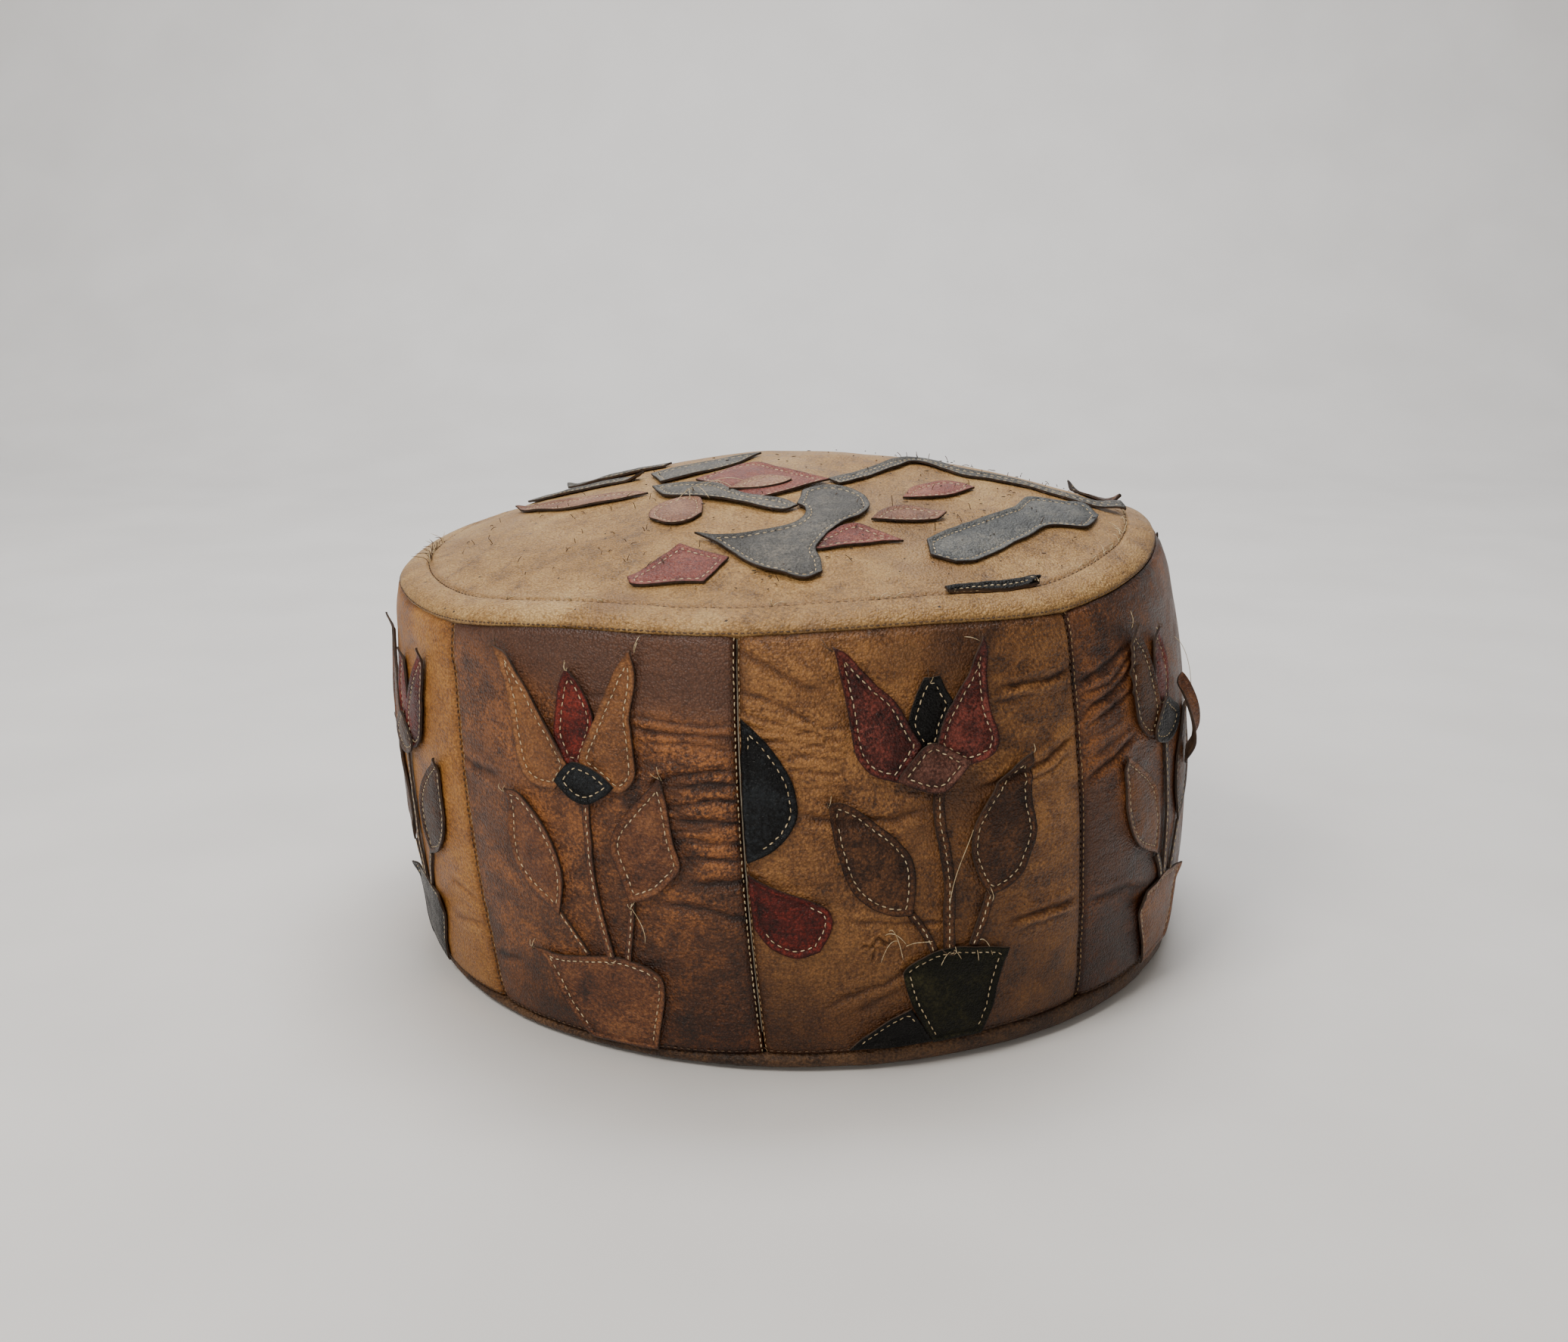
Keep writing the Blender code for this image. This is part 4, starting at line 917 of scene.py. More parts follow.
def applique(name, outline, surface, look, replaced=(), level=0.0, curls=(), flare=1.0,
             inset_by=STITCH_INSET, pitch=3.9, line=None, puff=0.5, bare=()):
    """A cut leather piece laid on a surface: stitched a few millimetres in, its edge lifted, its tips curled.

    line is where the stitches run if not round the edge; bare lists boxes (x0, y0, x1, y1) without stitches.
    """
    seed = next(SEEDS)
    loop = curve_through(outline)
    flat_loop = np.c_[loop, np.full(len(loop), seed * 3.1)]
    loop = loop + 0.45 * np.stack([noise(flat_loop, 9, 70), noise(flat_loop, 9, 71)], -1)
    rings = [loop] + [inset(loop, amount) for amount in (0.9, 2.0, 3.1, 4.2, 5.4)]
    low, high = loop.min(axis=0), loop.max(axis=0)
    gx, gy = np.meshgrid(np.arange(low[0], high[0], GRID_STEP), np.arange(low[1], high[1], GRID_STEP))
    gx = gx + (np.arange(gx.shape[0]) % 2)[:, None] * GRID_STEP / 2
    grid = np.c_[gx.ravel(), gy.ravel()]
    keep = inside_loop(grid[:, 0], grid[:, 1], loop) & (loop_distance(grid[:, 0], grid[:, 1], loop) > 6.6)
    found = delaunay_2d_cdt([Vector(p) for p in np.concatenate([*rings, grid[keep]]).tolist()], [],
                            [list(range(len(loop)))], 1, 1e-5)
    flat = np.array([tuple(p) for p in found[0]])
    tris = [tuple(t) for t in found[2] if len(t) == 3]

    def rise_at(x, y, d):
        key = np.c_[x, y, np.full(len(x), seed * 17.0)]
        rise = 0.35 + level + flare * (0.75 + 0.75 * noise(key, 17, 72)) * bell(d, 2.4)
        rise = rise + puff * smooth(d, inset_by + 0.5, inset_by + 6)
        rise = rise - 0.35 * bell(d - inset_by, 0.9) + 0.2 * noise(key, 6, 73) * smooth(d, 1, 5)
        for cx, cy, reach, height in curls:
            bend = np.clip(1 - np.hypot(x - cx, y - cy) / reach, 0, 1)
            rise = rise + height * bend**2 * (3 - 2 * bend)
        return rise

    x, y = flat[:, 0], flat[:, 1]
    d = loop_distance(x, y, loop)
    base, normal, wear_and_shading = surface.place(x, y)
    rise = rise_at(x, y, d)
    shift = np.zeros((len(x), 3))
    for cx, cy, reach, height in curls:
        # A curled tip also draws back towards the piece's middle.
        bend = np.clip(1 - np.hypot(x - cx, y - cy) / reach, 0, 1)
        pull = np.array([[x.mean(), y.mean()]]) - np.c_[x, y]
        pull = pull / np.maximum(np.linalg.norm(pull, axis=1, keepdims=True), 1)
        back, _, _ = surface.place(x + pull[:, 0], y + pull[:, 1])
        shift += (back - base) * (0.35 * height * bend**3)[:, None]
    upper = base + shift + normal * (rise + THICKNESS)[:, None]
    lower = base + shift + normal * rise[:, None]
    count = len(flat)
    edges = {(t[k], t[(k + 1) % 3]) for t in tris for k in range(3)}
    rim = sorted((a, b) for a, b in edges if (b, a) not in edges)
    faces = tris + [(t[2] + count, t[1] + count, t[0] + count) for t in tris]
    faces += [(b, a, a + count, b + count) for a, b in rim]
    slots = [0] * len(tris) + [2] * len(tris) + [1] * len(rim)
    key = np.c_[x, y, np.full(len(x), seed * 17.0)]
    # Wear from the surface below and the piece's own, darker right at the cut edge, with painted shade along the
    # sunken stitch line and a painted highlight on the rolled band between the edge and the stitches.
    own = wear_and_shading * 0.6 + 0.6 * fractal(key, 22, 3, 74) - 0.9 * bell(d, 0.7)
    own = own - 0.6 * bell(d - inset_by, 0.9) + 0.5 * bell(d - 1.8, 0.8)
    values = np.clip(np.concatenate([own, own - 0.5]), -1.4, 1.2)
    make(name, np.concatenate([upper, lower]), faces, [LEATHERS[look], CUT_EDGE, FLESH], replaced,
         {"wear_and_shading": values, "shade_and_dirt": 0 * values}, slots, hard=1)
    path = inset(loop, inset_by) if line is None else np.asarray(line, float)
    if len(path) < 3:
        return
    places, along = spaced(path, pitch, line is None)
    sewn = np.ones(len(places), bool)
    for x0, y0, x1, y1 in bare:
        inside = (places[:, 0] > x0) & (places[:, 0] < x1) & (places[:, 1] > y0) & (places[:, 1] < y1)
        sewn &= ~inside
    gap = loop_distance(places[:, 0], places[:, 1], loop)
    if line is None:
        sewn &= gap > 0.6 * inset_by
    places, along = places[sewn], along[sewn]
    height = rise_at(places[:, 0], places[:, 1], gap[sewn]) + THICKNESS + 0.02
    base, normal, _ = surface.place(*places.T)
    ahead, _, _ = surface.place(*(places + along).T)
    stitched(name + "_stitches", base + normal * height[:, None], ahead - base, normal, THREAD, 0.68 * pitch,
             STITCH_WIDTH, seed)


def stem(name, line, width, surface, look, level, end_width):
    """A stem, stitched along its middle."""
    applique(name, ribbon(line, width, end_width), surface, look, (), level, (), 0.4, 9.0, line=line, puff=0.0)


# Each shape is a run of "across,up" in millimetres, where * marks a sharp corner, then its level and its curls.
FLOWER_B = {
    "petal_centre": ("5,194* -1,186 -5,173 -7,161 -4,152 -2,147* 7,147* 12,157 16,169 12,183",
                     0.0, [(5, 194, 9, 1.4)]),
    "petal_left": ("-39,204* -36,191 -33,176 -32,160 -30,146 -27,139 -20,135 -9,134* 0,146* -8,160 -16,173 -24,187 "
                   "-32,199", 0.9, [(-39, 204, 11, 2.2)]),
    "petal_right": ("41,206* 32,196 24,183 17,170 11,159 6,148* 17,141 24,136 30,137 35,144 36,156 36,173 40,190",
                    1.0, [(41, 205, 11, 3.4)]),
    "calyx": ("-8,139* -4,144 3,149 9,148 17,144 24,138* 18,133 9,129 0,131", 1.9, []),
    "leaf_left": ("-43,131* -43,118 -45,105 -44,92 -37,82 -28,75 -18,68* -14,80 -13,92 -17,107 -26,122 -36,130",
                  0.0, [(-42, 130, 9, 1.6)]),
    "leaf_right": ("48,146* 39,136 29,126 20,115 18,105 21,93 24,80* 37,85 46,92 52,101 50,113 49,130",
                   0.0, [(48, 145, 10, 2.2)]),
    "pot": ("-39,48* -28,45 -12,47 8,50 20,49 29,46 36,40 34,28 30,14 26,1* -13,1* -18,8 -24,18 -30,32",
            0.0, [(-39, 48, 9, 2.6)]),
}
LOOKS_B = {"petal_centre": "red", "petal_left": "light", "petal_right": "light", "calyx": "navy",
           "leaf_left": "tawny", "leaf_right": "tawny", "pot": "tawny"}
FLOWER_C = {
    "petal_centre": ("1,188* 9,188* 12,181 15,174 10,164 6,153* -3,153* -7,162 -8,168 -4,178",
                     -0.1, [(5, 188, 8, 1.2)]),
    "petal_left": ("-41,206* -39,193 -37,179 -36,166 -35,156 -33,150 -28,144 -16,139* -3,156* -8,166 -14,178 -22,186 "
                   "-29,194 -35,202", 0.7, [(-41, 205, 11, 2.6)]),
    "petal_right": ("32,206* 28,197 24,188 16,177 9,167 4,154* 19,144* 28,146 35,150 37,158 34,169 33,185 34,197",
                    0.8, [(32, 205, 11, 3.6)]),
    "calyx": ("-17,140* -11,147 -3,155 4,157 12,152 21,146* 14,139 6,133 -6,135", 1.7, []),
    "leaf_left": ("-50,133* -43,132 -34,126 -21,114 -13,103 -11,90 -14,73* -25,74 -35,79 -43,89 -47,104 -49,119",
                  0.0, [(-49, 132, 8, 1.6)]),
    "leaf_right": ("55,148* 45,141 36,134 27,123 20,111 19,99 22,87 28,77* 38,80 47,86 52,95 56,107 54,122",
                   0.0, [(55, 147, 11, 2.6)]),
    "pot": ("-20,43 -15,48 -4,52 8,53 20,51 37,48* 32,34 27,18 21,2* -6,2* -12,14 -17,27", 0.3, [(36, 47, 8, 1.0)]),
}
LOOKS_C = {"petal_centre": "black", "petal_left": "oxblood", "petal_right": "oxblood", "calyx": "dusky",
           "leaf_left": "brown", "leaf_right": "brown", "pot": "green"}
TULIP = {
    "petal_centre": ("0,194* -8,180 -11,166 -7,148* 7,148* 11,166 8,180", 0.0, [(0, 194, 10, 2.0)]),
    "petal_left": ("-45,204* -38,178 -35,158 -30,144 -18,138 -6,148* -12,164 -24,184", 0.8, [(-45, 204, 12, 3.0)]),
    "petal_right": ("43,204* 24,184 12,164 6,148* 18,138 30,144 35,158 38,178", 0.8, [(43, 204, 12, 3.2)]),
    "calyx": ("-19,139 -8,150 0,154 8,150 19,139 8,131 -8,131", 1.8, []),
    "leaf_left": ("-51,138* -49,118 -47,98 -38,82 -14,68* -11,88 -18,110 -34,126", 0.0, [(-51, 137, 11, 2.4)]),
    "leaf_right": ("53,142* 36,129 21,112 17,96 25,74* 42,82 52,100 52,122", 0.0, [(53, 141, 11, 2.4)]),
    "pot": ("-34,47* -14,49 0,51 14,49 34,46* 27,24 20,2* -20,2* -27,24",
            0.2, [(-34, 47, 12, 3.0), (34, 46, 12, 2.0)]),
}
# Panel d's left petal is straighter than the others.
PETAL_LEFT_D = ("-32,205* -36,186 -37,168 -33,148 -20,139 -8,148* -11,166 -18,186 -26,196",
                0.8, [(-32, 204, 12, 3.0)])
STEMS = {
    "b": [([(7, 131), (6, 115), (5, 100), (5, 80), (7, 62), (9, 49)], 3.6, 4.4, "tawny"),
          ([(-18, 69), (-12, 60), (-5, 49)], 2.4, 2.4, "dark"), ([(25, 81), (22, 65), (18, 49)], 3.4, 3.2, "tawny")],
    "c": [([(4, 135), (3, 118), (5, 102), (6, 86), (5, 69), (4, 52)], 5.6, 5.8, "brown"),
          ([(-14, 73), (-8, 63), (-4, 52)], 4.2, 4.2, "brown"), ([(28, 78), (23, 65), (17, 52)], 5.0, 4.6, "brown")],
    "tulip": [([(0, 132), (1, 100), (0, 75), (0, 49)], 4.8, 5.2, "brown"),
              ([(-14, 68), (-8, 58), (-4, 48)], 3.6, 3.6, "brown"),
              ([(25, 74), (18, 62), (12, 48)], 3.6, 3.6, "brown")],
}
TULIP_LOOKS = {
    "a": {"petal_centre": "red", "petal_left": "tawny", "petal_right": "red", "calyx": "brown",
          "leaf_left": "brown", "leaf_right": "brown", "pot": "black"},
    "d": {"petal_centre": "oxblood", "petal_left": "brown", "calyx": "navy",
          "leaf_left": "light", "leaf_right": "brown", "pot": "light"},
    "e": {"petal_centre": "black", "petal_left": "oxblood", "petal_right": "oxblood", "calyx": "brown",
          "leaf_left": "brown", "leaf_right": "brown", "pot": "green"},
    "f": {"petal_centre": "oxblood", "petal_left": "light", "petal_right": "light", "calyx": "black",
          "leaf_left": "brown", "leaf_right": "light", "pot": "light"},
    "g": {"petal_centre": "navy", "petal_left": "oxblood", "petal_right": "oxblood", "calyx": "brown",
          "leaf_left": "brown", "leaf_right": "green", "pot": "black"},
    "h": {"petal_centre": "oxblood", "petal_left": "light", "petal_right": "light", "calyx": "black",
          "leaf_left": "light", "leaf_right": "brown", "pot": "light"},
}


def flower(letter, shapes, looks, surface, own_nodes):
    for part, (outline, level, curls) in shapes.items():
        if part not in looks:
            continue
        if own_nodes:
            nodes = [f"{part}_{letter}"]
        else:
            nodes = ["tulip_" + letter] if part == "pot" else []
        applique(f"{part}_{letter}_leather", outline, surface, looks[part], nodes, level, curls,
                 bare=[(-40, -5, 40, 7)] if part == "pot" else ())
    for k, (line, width, end_width, look) in enumerate(STEMS[letter if own_nodes else "tulip"]):
        stem(f"stem_{letter}_{k + 1}", line, width, surface, look, 0.1, end_width)


TOP_PIECES = {
    "top_wing_red": ("-56,-40* -41,-29 -27,-24 -10,-40 1,-51 18,-66* -10,-87 -26,-90",
                     "rose", 0.4, []),
    "top_wing_leaf": ("-36,-77* -28,-66 -15,-57 -4,-63 -3,-68 -12,-76 -21,-78", "pink", 1.6, []),
    "top_band_grey": ("-80,-38* -62,-44 -44,-62 -27,-86 -8,-98 1,-107* -8,-112 -30,-98 -51,-82 -72,-60",
                      "grey", 0.9, []),
    "top_shoulder_grey": ("-84,2* -70,7 -39,12 -20,13* -36,-13 -56,-24 -76,-30*", "grey", 0.0, []),
    "top_bird_grey": ("-52,-136* -40,-138 -27,-138 -10,-134 -1,-130 4,-121 4,-111 0,-105* 2,-94 4,-84 17,-78 32,-84 "
                      "38,-101 34,-117 24,-130 14,-146 9,-159 11,-170 12,-181* 4,-186 -7,-181 -20,-173 -32,-158 "
                      "-42,-144", "grey", 0.7, [(-52, -136, 12, 1.2)]),
    "top_pentagon_red": ("-83,-172* -70,-158 -59,-145* -34,-161* -45,-182* -80,-178",
                         "rose", 0.0, [(-59, -145, 10, 1.2), (-83, -173, 10, 1.2)]),
    "top_pentagon_small": ("-78,-92 -70,-77 -62,-73 -54,-78 -50,-88 -49,-108* -58,-117 -70,-113", "pink", 0.0, []),
    "top_strip_front": ("-168,30* -150,8 -128,-14 -100,-30 -82,-46* -100,-46 -124,-38 -146,-16 -160,8",
                        "pink", 0.0, [(-167, 29, 14, 2.0)]),
    "top_strip_middle": ("-167,72* -148,48 -128,28 -94,8 -86,-4* -108,4 -130,16 -148,34 -161,52",
                         "grey", 0.0, [(-87, -4, 14, 3.0)]),
    "top_strip_back": ("-143,84* -124,62 -104,46 -74,36* -78,25* -110,34 -128,50 -140,66",
                       "grey", 0.0, [(-143, 84, 14, 3.0)]),
    "top_triangle_red": ("0,-158* 14,-145 28,-132 40,-137 53,-143* 32,-152 12,-159*",
                         "rose", 0.1, []),
    "top_leaf_pink": ("38,-122* 44,-108 53,-97 66,-94 79,-99* 70,-109 54,-118", "pink", 0.0, [(79, -99, 11, 2.0)]),
    "top_leaf_red": ("57,-79* 63,-64 72,-54 82,-47 92,-47 98,-53* 89,-64 78,-73", "rose", 0.0, []),
    "top_branch": ("17,-62* 30,-46 44,-30 58,-14 72,-3 82,-10 93,-20 112,-22 130,-22 156,-27 182,-30* 184,-41* "
                   "156,-38 130,-33 112,-34 94,-33 84,-26 70,-16 58,-28 46,-42 34,-56 23,-70*",
                   "grey", 0.0, [(183, -35, 16, 5.0)]),
    "top_fish": ("65,-138* 74,-124 85,-110 100,-95 116,-79 122,-67 127,-57 139,-50 152,-46 160,-46 166,-58* 161,-72 "
                 "156,-82 146,-86 134,-93 122,-108 109,-123 98,-137 88,-150 78,-156* 66,-154*",
                 "slate", 0.0, [(160, -46, 12, 1.4)]),
    "top_strip_black": ("70,-186* 88,-174 106,-162 117,-152* 125,-168* 109,-182 93,-193 76,-199*",
                        "black", 0.0, [(121, -160, 10, 4.0), (73, -192, 6, 0.8)]),
    "top_leaf_back": ("160,26* 170,30 179,24 188,-6* 177,-16 168,-2",
                      "brown", 0.0, [(160, 26, 12, 5.0), (187, -7, 10, 5.0)]),
}


def build_applique():
    flower("b", FLOWER_B, LOOKS_B, Side("b"), True)
    flower("c", FLOWER_C, LOOKS_C, Side("c"), True)
    flower("a", TULIP, TULIP_LOOKS["a"], Side("a", 0.955, 13.2, 0.07), False)
    for letter in "efgh":
        flower(letter, TULIP, TULIP_LOOKS[letter], Side(letter), False)
    flower("d", dict(TULIP, petal_left=PETAL_LEFT_D), TULIP_LOOKS["d"], Side("d", 0.95, -6.0), False)
    c = Side("c")
    applique("half_drop_leather", [(-86.5, 174, 1), (-75, 162), (-68, 150), (-64, 137), (-66, 123), (-77, 110),
                                   (-90.8, 103, 1), (-90, 126), (-88.6, 150)], c, "navy", ["half_drop_c"],
             bare=[(-95, 95, -84.6, 168)])
    applique("half_fruit_leather", [(-91, 97, 1), (-76, 90), (-58, 82), (-53, 77), (-54, 68), (-60, 58, 1), (-71, 55),
                                    (-83, 60), (-91, 71, 1)], c, "red", ["half_fruit_c"],
             bare=[(-95, 60, -85, 98), (-95, 79, -62, 98)])
    applique("quarter_leaf_leather", "-50,3* -41,11 -30,18 -17,23* -12,14 -7,3*", c, "black", ["quarter_leaf_c"],
             inset_by=2.4, bare=[(-60, -5, 0, 6), (-16, 0, 0, 30)])
    top = Top()
    for name, (outline, look, level, curls) in TOP_PIECES.items():
        applique(name + "_leather", outline, top, look, [name], level, curls, 0.9, 3.0)


# ---------------------------------------------------------------- seams


def build_seams():
    """Rows of stitches along the panel seams, the top seam, the inner circle and the base seam."""
    count = 63
    for i in range(8):
        t = (np.arange(count) + 0.5) / count
        for side, tone in ((-1.25, THREAD_DARK if i % 2 else THREAD), (1.25, THREAD_GOLD)):
            if side < 0 and i not in (1, 2, 3):
                continue
            offset = SEAM_ANGLES[i] + np.degrees(side / BELLY_RADIUS)
            angle = offset + seam_shift(i, t)
            points, _ = side_surface(angle, t, 0.5)
            ahead, _ = side_surface(offset + seam_shift(i, t + 0.005), t + 0.005, 0.5)
            stitched(f"seam_{i + 1}_{'left' if side < 0 else 'right'}", points, ahead - points, side_normal(angle, t),
                     tone, 2.3, 0.62, i * 2 + (side > 0))
    for name, s, count, lift, below, width, seed in (("top_seam_stitches", 1.935, 470, 0.25, 150.0, 0.7, 40),
                                                     ("inner_circle_stitches", 1.0, 334, 0.35, 60.0, 0.75, 41)):
        angle = np.linspace(0, 360, count, endpoint=False)
        points, _ = top_surface(angle, np.full(count, s), lift)
        ahead, _ = top_surface(angle + 0.3, np.full(count, s), lift)
        stitched(name, points, ahead - points, unit(points - (0, 0, below)), THREAD_DARK, 2.2, width, seed)
    angle = np.linspace(0, 360, 400, endpoint=False)
    t = np.full(400, 0.012)
    points, _ = side_surface(angle, t, 0.3)
    ahead, _ = side_surface(angle + 0.3, t, 0.3)
    stitched("base_seam_stitches", points, ahead - points, side_normal(angle, t), THREAD_DARK, 2.2, 0.6, 42)


# ---------------------------------------------------------------- base and zip


def floor_stitches(name, x, y, height, length, width, seed):
    """A straight row of dark stitches along X on the underside."""
    count = len(x)
    places = np.stack([x, np.full(count, y), np.full(count, height)], -1)
    stitched(name, places, np.tile((1.0, 0, 0), (count, 1)), np.tile((0, 0, -1.0), (count, 1)), THREAD_DARK, length,
             width, seed)


def build_zip():
    for end in ("front", "back"):
        low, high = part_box("zip_coil_" + end)
        middle = (np.array(low) + np.array(high)) / 2 / MM
        radius = (high[1] - low[1]) / MM / 2 - 0.3
        length = (high[0] - low[0]) / MM
        turns = int(length / 2.1)
        a = np.arange(turns * 10) * math.tau / 10
        x = low[0] / MM + 0.4 + a / math.tau * (length - 0.8) / turns
        line = np.stack([x, middle[1] + radius * np.cos(a), middle[2] + (radius - 0.1) * np.sin(a)], -1)
        mesh, faces = tube(line, 0.34, 5)
        nylon = plain("nylon_coil_" + end, (0.03, 0.022, 0.017), (0.07, 0.055, 0.04), 0.4, 900)
        make("zip_coil_teeth_" + end, mesh, faces, [nylon], ["zip_coil_" + end])
    brass = plain("brass", (0.30, 0.19, 0.07), (0.60, 0.43, 0.18), 0.38, 700, 1.0, 0.0001)
    tape = plain("zip_tape", (0.030, 0.022, 0.017), (0.062, 0.048, 0.036), 0.8, 1400, depth=0.0005, twill=True)
    for name in ("zip_slider", "zip_pull", "zip_stop_open", "zip_stop_closed"):
        carry(name, brass)
    for name in ("zip_tape_front", "zip_tape_back"):
        carry(name, tape)
    base_half("front", -1)
    base_half("back", 1)
    # Two rows of stitches hold each tape to the base leather.
    low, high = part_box("zip_tape_front")
    x = np.arange(low[0] / MM + 3, high[0] / MM - 3, 3.6)
    mid = BASE_CENTRE[1]
    for k, y in enumerate((mid - 10.6, mid + 10.6)):
        floor_stitches(f"zip_stitches_{k + 1}", x, y, 0.12, 2.5, 0.22, 60 + k)


def base_half(end, side):
    """Half of the base leather, flat on the floor, its straight edge hemmed up to the zip tape."""
    columns = 201
    hem = ((8.2, 0.0), (5.4, -0.1), (2.6, 0.2), (1.1, 0.9), (0.45, 2.4))
    turn = np.radians(np.linspace(-89.2, 89.2, columns))
    reach = 206.0
    x = reach * np.sin(turn)
    outer = reach * np.cos(turn)
    # Beyond the zip's ends the two halves meet edge to edge.
    inner = np.minimum(0.25 + 7.95 * smooth(-np.abs(x), -154, -149), 0.95 * outer)
    rows = []
    for height, away in hem:
        level = np.where(np.abs(x) > 153, np.minimum(height, 2.6), height)
        rows.append(np.stack([x, side * np.minimum(inner + away, 0.98 * outer), level], -1))
    start = np.minimum(inner + 4.0, 0.99 * outer)
    for f in np.linspace(0, 1, 60):
        y = start + (outer - start) * f
        flat = np.stack([x, side * y, 0 * x], -1)
        dent = 0.5 + 0.5 * fractal(flat, 46, 3, 55)
        away = smooth(y - inner, 6, 24) * smooth(outer - y, 0, 12)
        flat[:, 2] = 0.22 + 1.3 * np.clip(dent, 0, 1) * away
        rows.append(flat)
    grid = np.stack(rows) + (BASE_CENTRE[0], BASE_CENTRE[1], 0.0)
    # Towards its edge the leather takes on the rim's look, so that no ring shows between them.
    rim = smooth(np.hypot(grid[..., 0] - BASE_CENTRE[0], grid[..., 1] - BASE_CENTRE[1]), 160, 202)
    wear_and_shading = (0.6 * fractal(grid, 34, 3, 56) - 0.2) * (1 - rim) + (0.5 * fractal(grid, 40, 3, 53) + 0.2) * rim
    shade_and_dirt = np.clip(0.25 + 0.5 * fractal(grid, 60, 2, 57), 0, 1) * (1 - rim)
    make("base_leather_" + end, grid.reshape(-1, 3), grid_faces(len(rows), columns, flip=side > 0),
         [LEATHERS["base"]], ["base_half_" + end], {"wear_and_shading": wear_and_shading, "shade_and_dirt": shade_and_dirt})
    # The hand-sewn closing beyond the zip's ends.
    for k, sign in enumerate((-1, 1)):
        along = sign * np.arange(155, 201, 3.4) + BASE_CENTRE[0]
        floor_stitches(f"base_closing_{end}_{k + 1}", along, BASE_CENTRE[1] + side * 2.2, 0.35, 2.2, 0.3, 70 + k)


def carry(name, material):
    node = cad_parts[name]
    node.data.materials.clear()
    node.data.materials.append(material)


# ---------------------------------------------------------------- loose threads, loops and scraps


def side_spot(letter, u, v, lift):
    points, normal, _ = Side(letter).place(np.array([float(u)]), np.array([float(v)]))
    return points[0] + normal[0] * lift


def side_thread(letter, *spots, count=14):
    return bezier(*(side_spot(letter, *spot) for spot in spots), count)


def top_spot(x, y, lift):
    points, normal, _ = Top().place(np.array([float(x)]), np.array([float(y)]))
    return points[0] + normal[0] * lift


def ring_spot(angle, s, lift):
    return top_surface(np.array([float(angle)]), np.array([float(s)]), lift)[0][0]


def build_loose_petal():
    """Panel d's right petal has come away at its side and bows outwards between its tip and its foot."""
    surface = Side("d", 0.95, -6.0)
    across, long = 9, 34
    f = np.linspace(0, 1, long)
    centre_u = 29 + 8 * f
    centre_v = 154 - 46 * f
    # Its foot comes back to lie flat, just clear of the leaf below it.
    bow = 5.6 * np.sin(np.pi * np.clip(f * 1.05, 0, 1))**0.8 + 1.9 + 1.8 * smooth(f, 0.2, 0.75)
    half = 6.0 * np.sin(np.pi * np.clip(f * 0.86 + 0.10, 0, 1))**0.7
    rows = []
    for sign in np.linspace(-1, 1, across):
        base, normal, _ = surface.place(centre_u + sign * half, centre_v + 4 * sign)
        cup = 2.2 * (sign**2) * (1 - smooth(f, 0.7, 1.0))
        rows.append(base + normal * (bow + cup)[:, None])
    outer = np.stack(rows)
    mid = outer.mean(axis=0)
    normal = unit(np.cross(np.gradient(outer[4], axis=0), outer[8] - outer[0]))
    if np.dot(normal[16], mid[16] - np.array([0, 0, 120.0])) < 0:
        normal = -normal
    inner = outer - normal[None] * 1.3
    points = np.concatenate([outer.reshape(-1, 3), inner.reshape(-1, 3)])
    count = across * long
    top_faces = grid_faces(across, long)
    faces = top_faces + [tuple(i + count for i in f[::-1]) for f in top_faces]
    slots = [0] * len(top_faces) + [2] * len(top_faces)
    rim = [*range(long)] + [i * long + long - 1 for i in range(1, across)]
    rim += [(across - 1) * long + j for j in range(long - 2, -1, -1)] + [i * long for i in range(across - 2, 0, -1)]
    for a, b in zip(rim, rim[1:] + rim[:1]):
        faces.append((b, a, a + count, b + count))
        slots.append(1)
    wear_and_shading = 0.5 * fractal(points, 18, 3, 80)
    make("petal_right_d_leather", points, faces, [LEATHERS["tawny"], CUT_EDGE, FLESH], (),
         {"wear_and_shading": wear_and_shading, "shade_and_dirt": 0 * wear_and_shading}, slots)


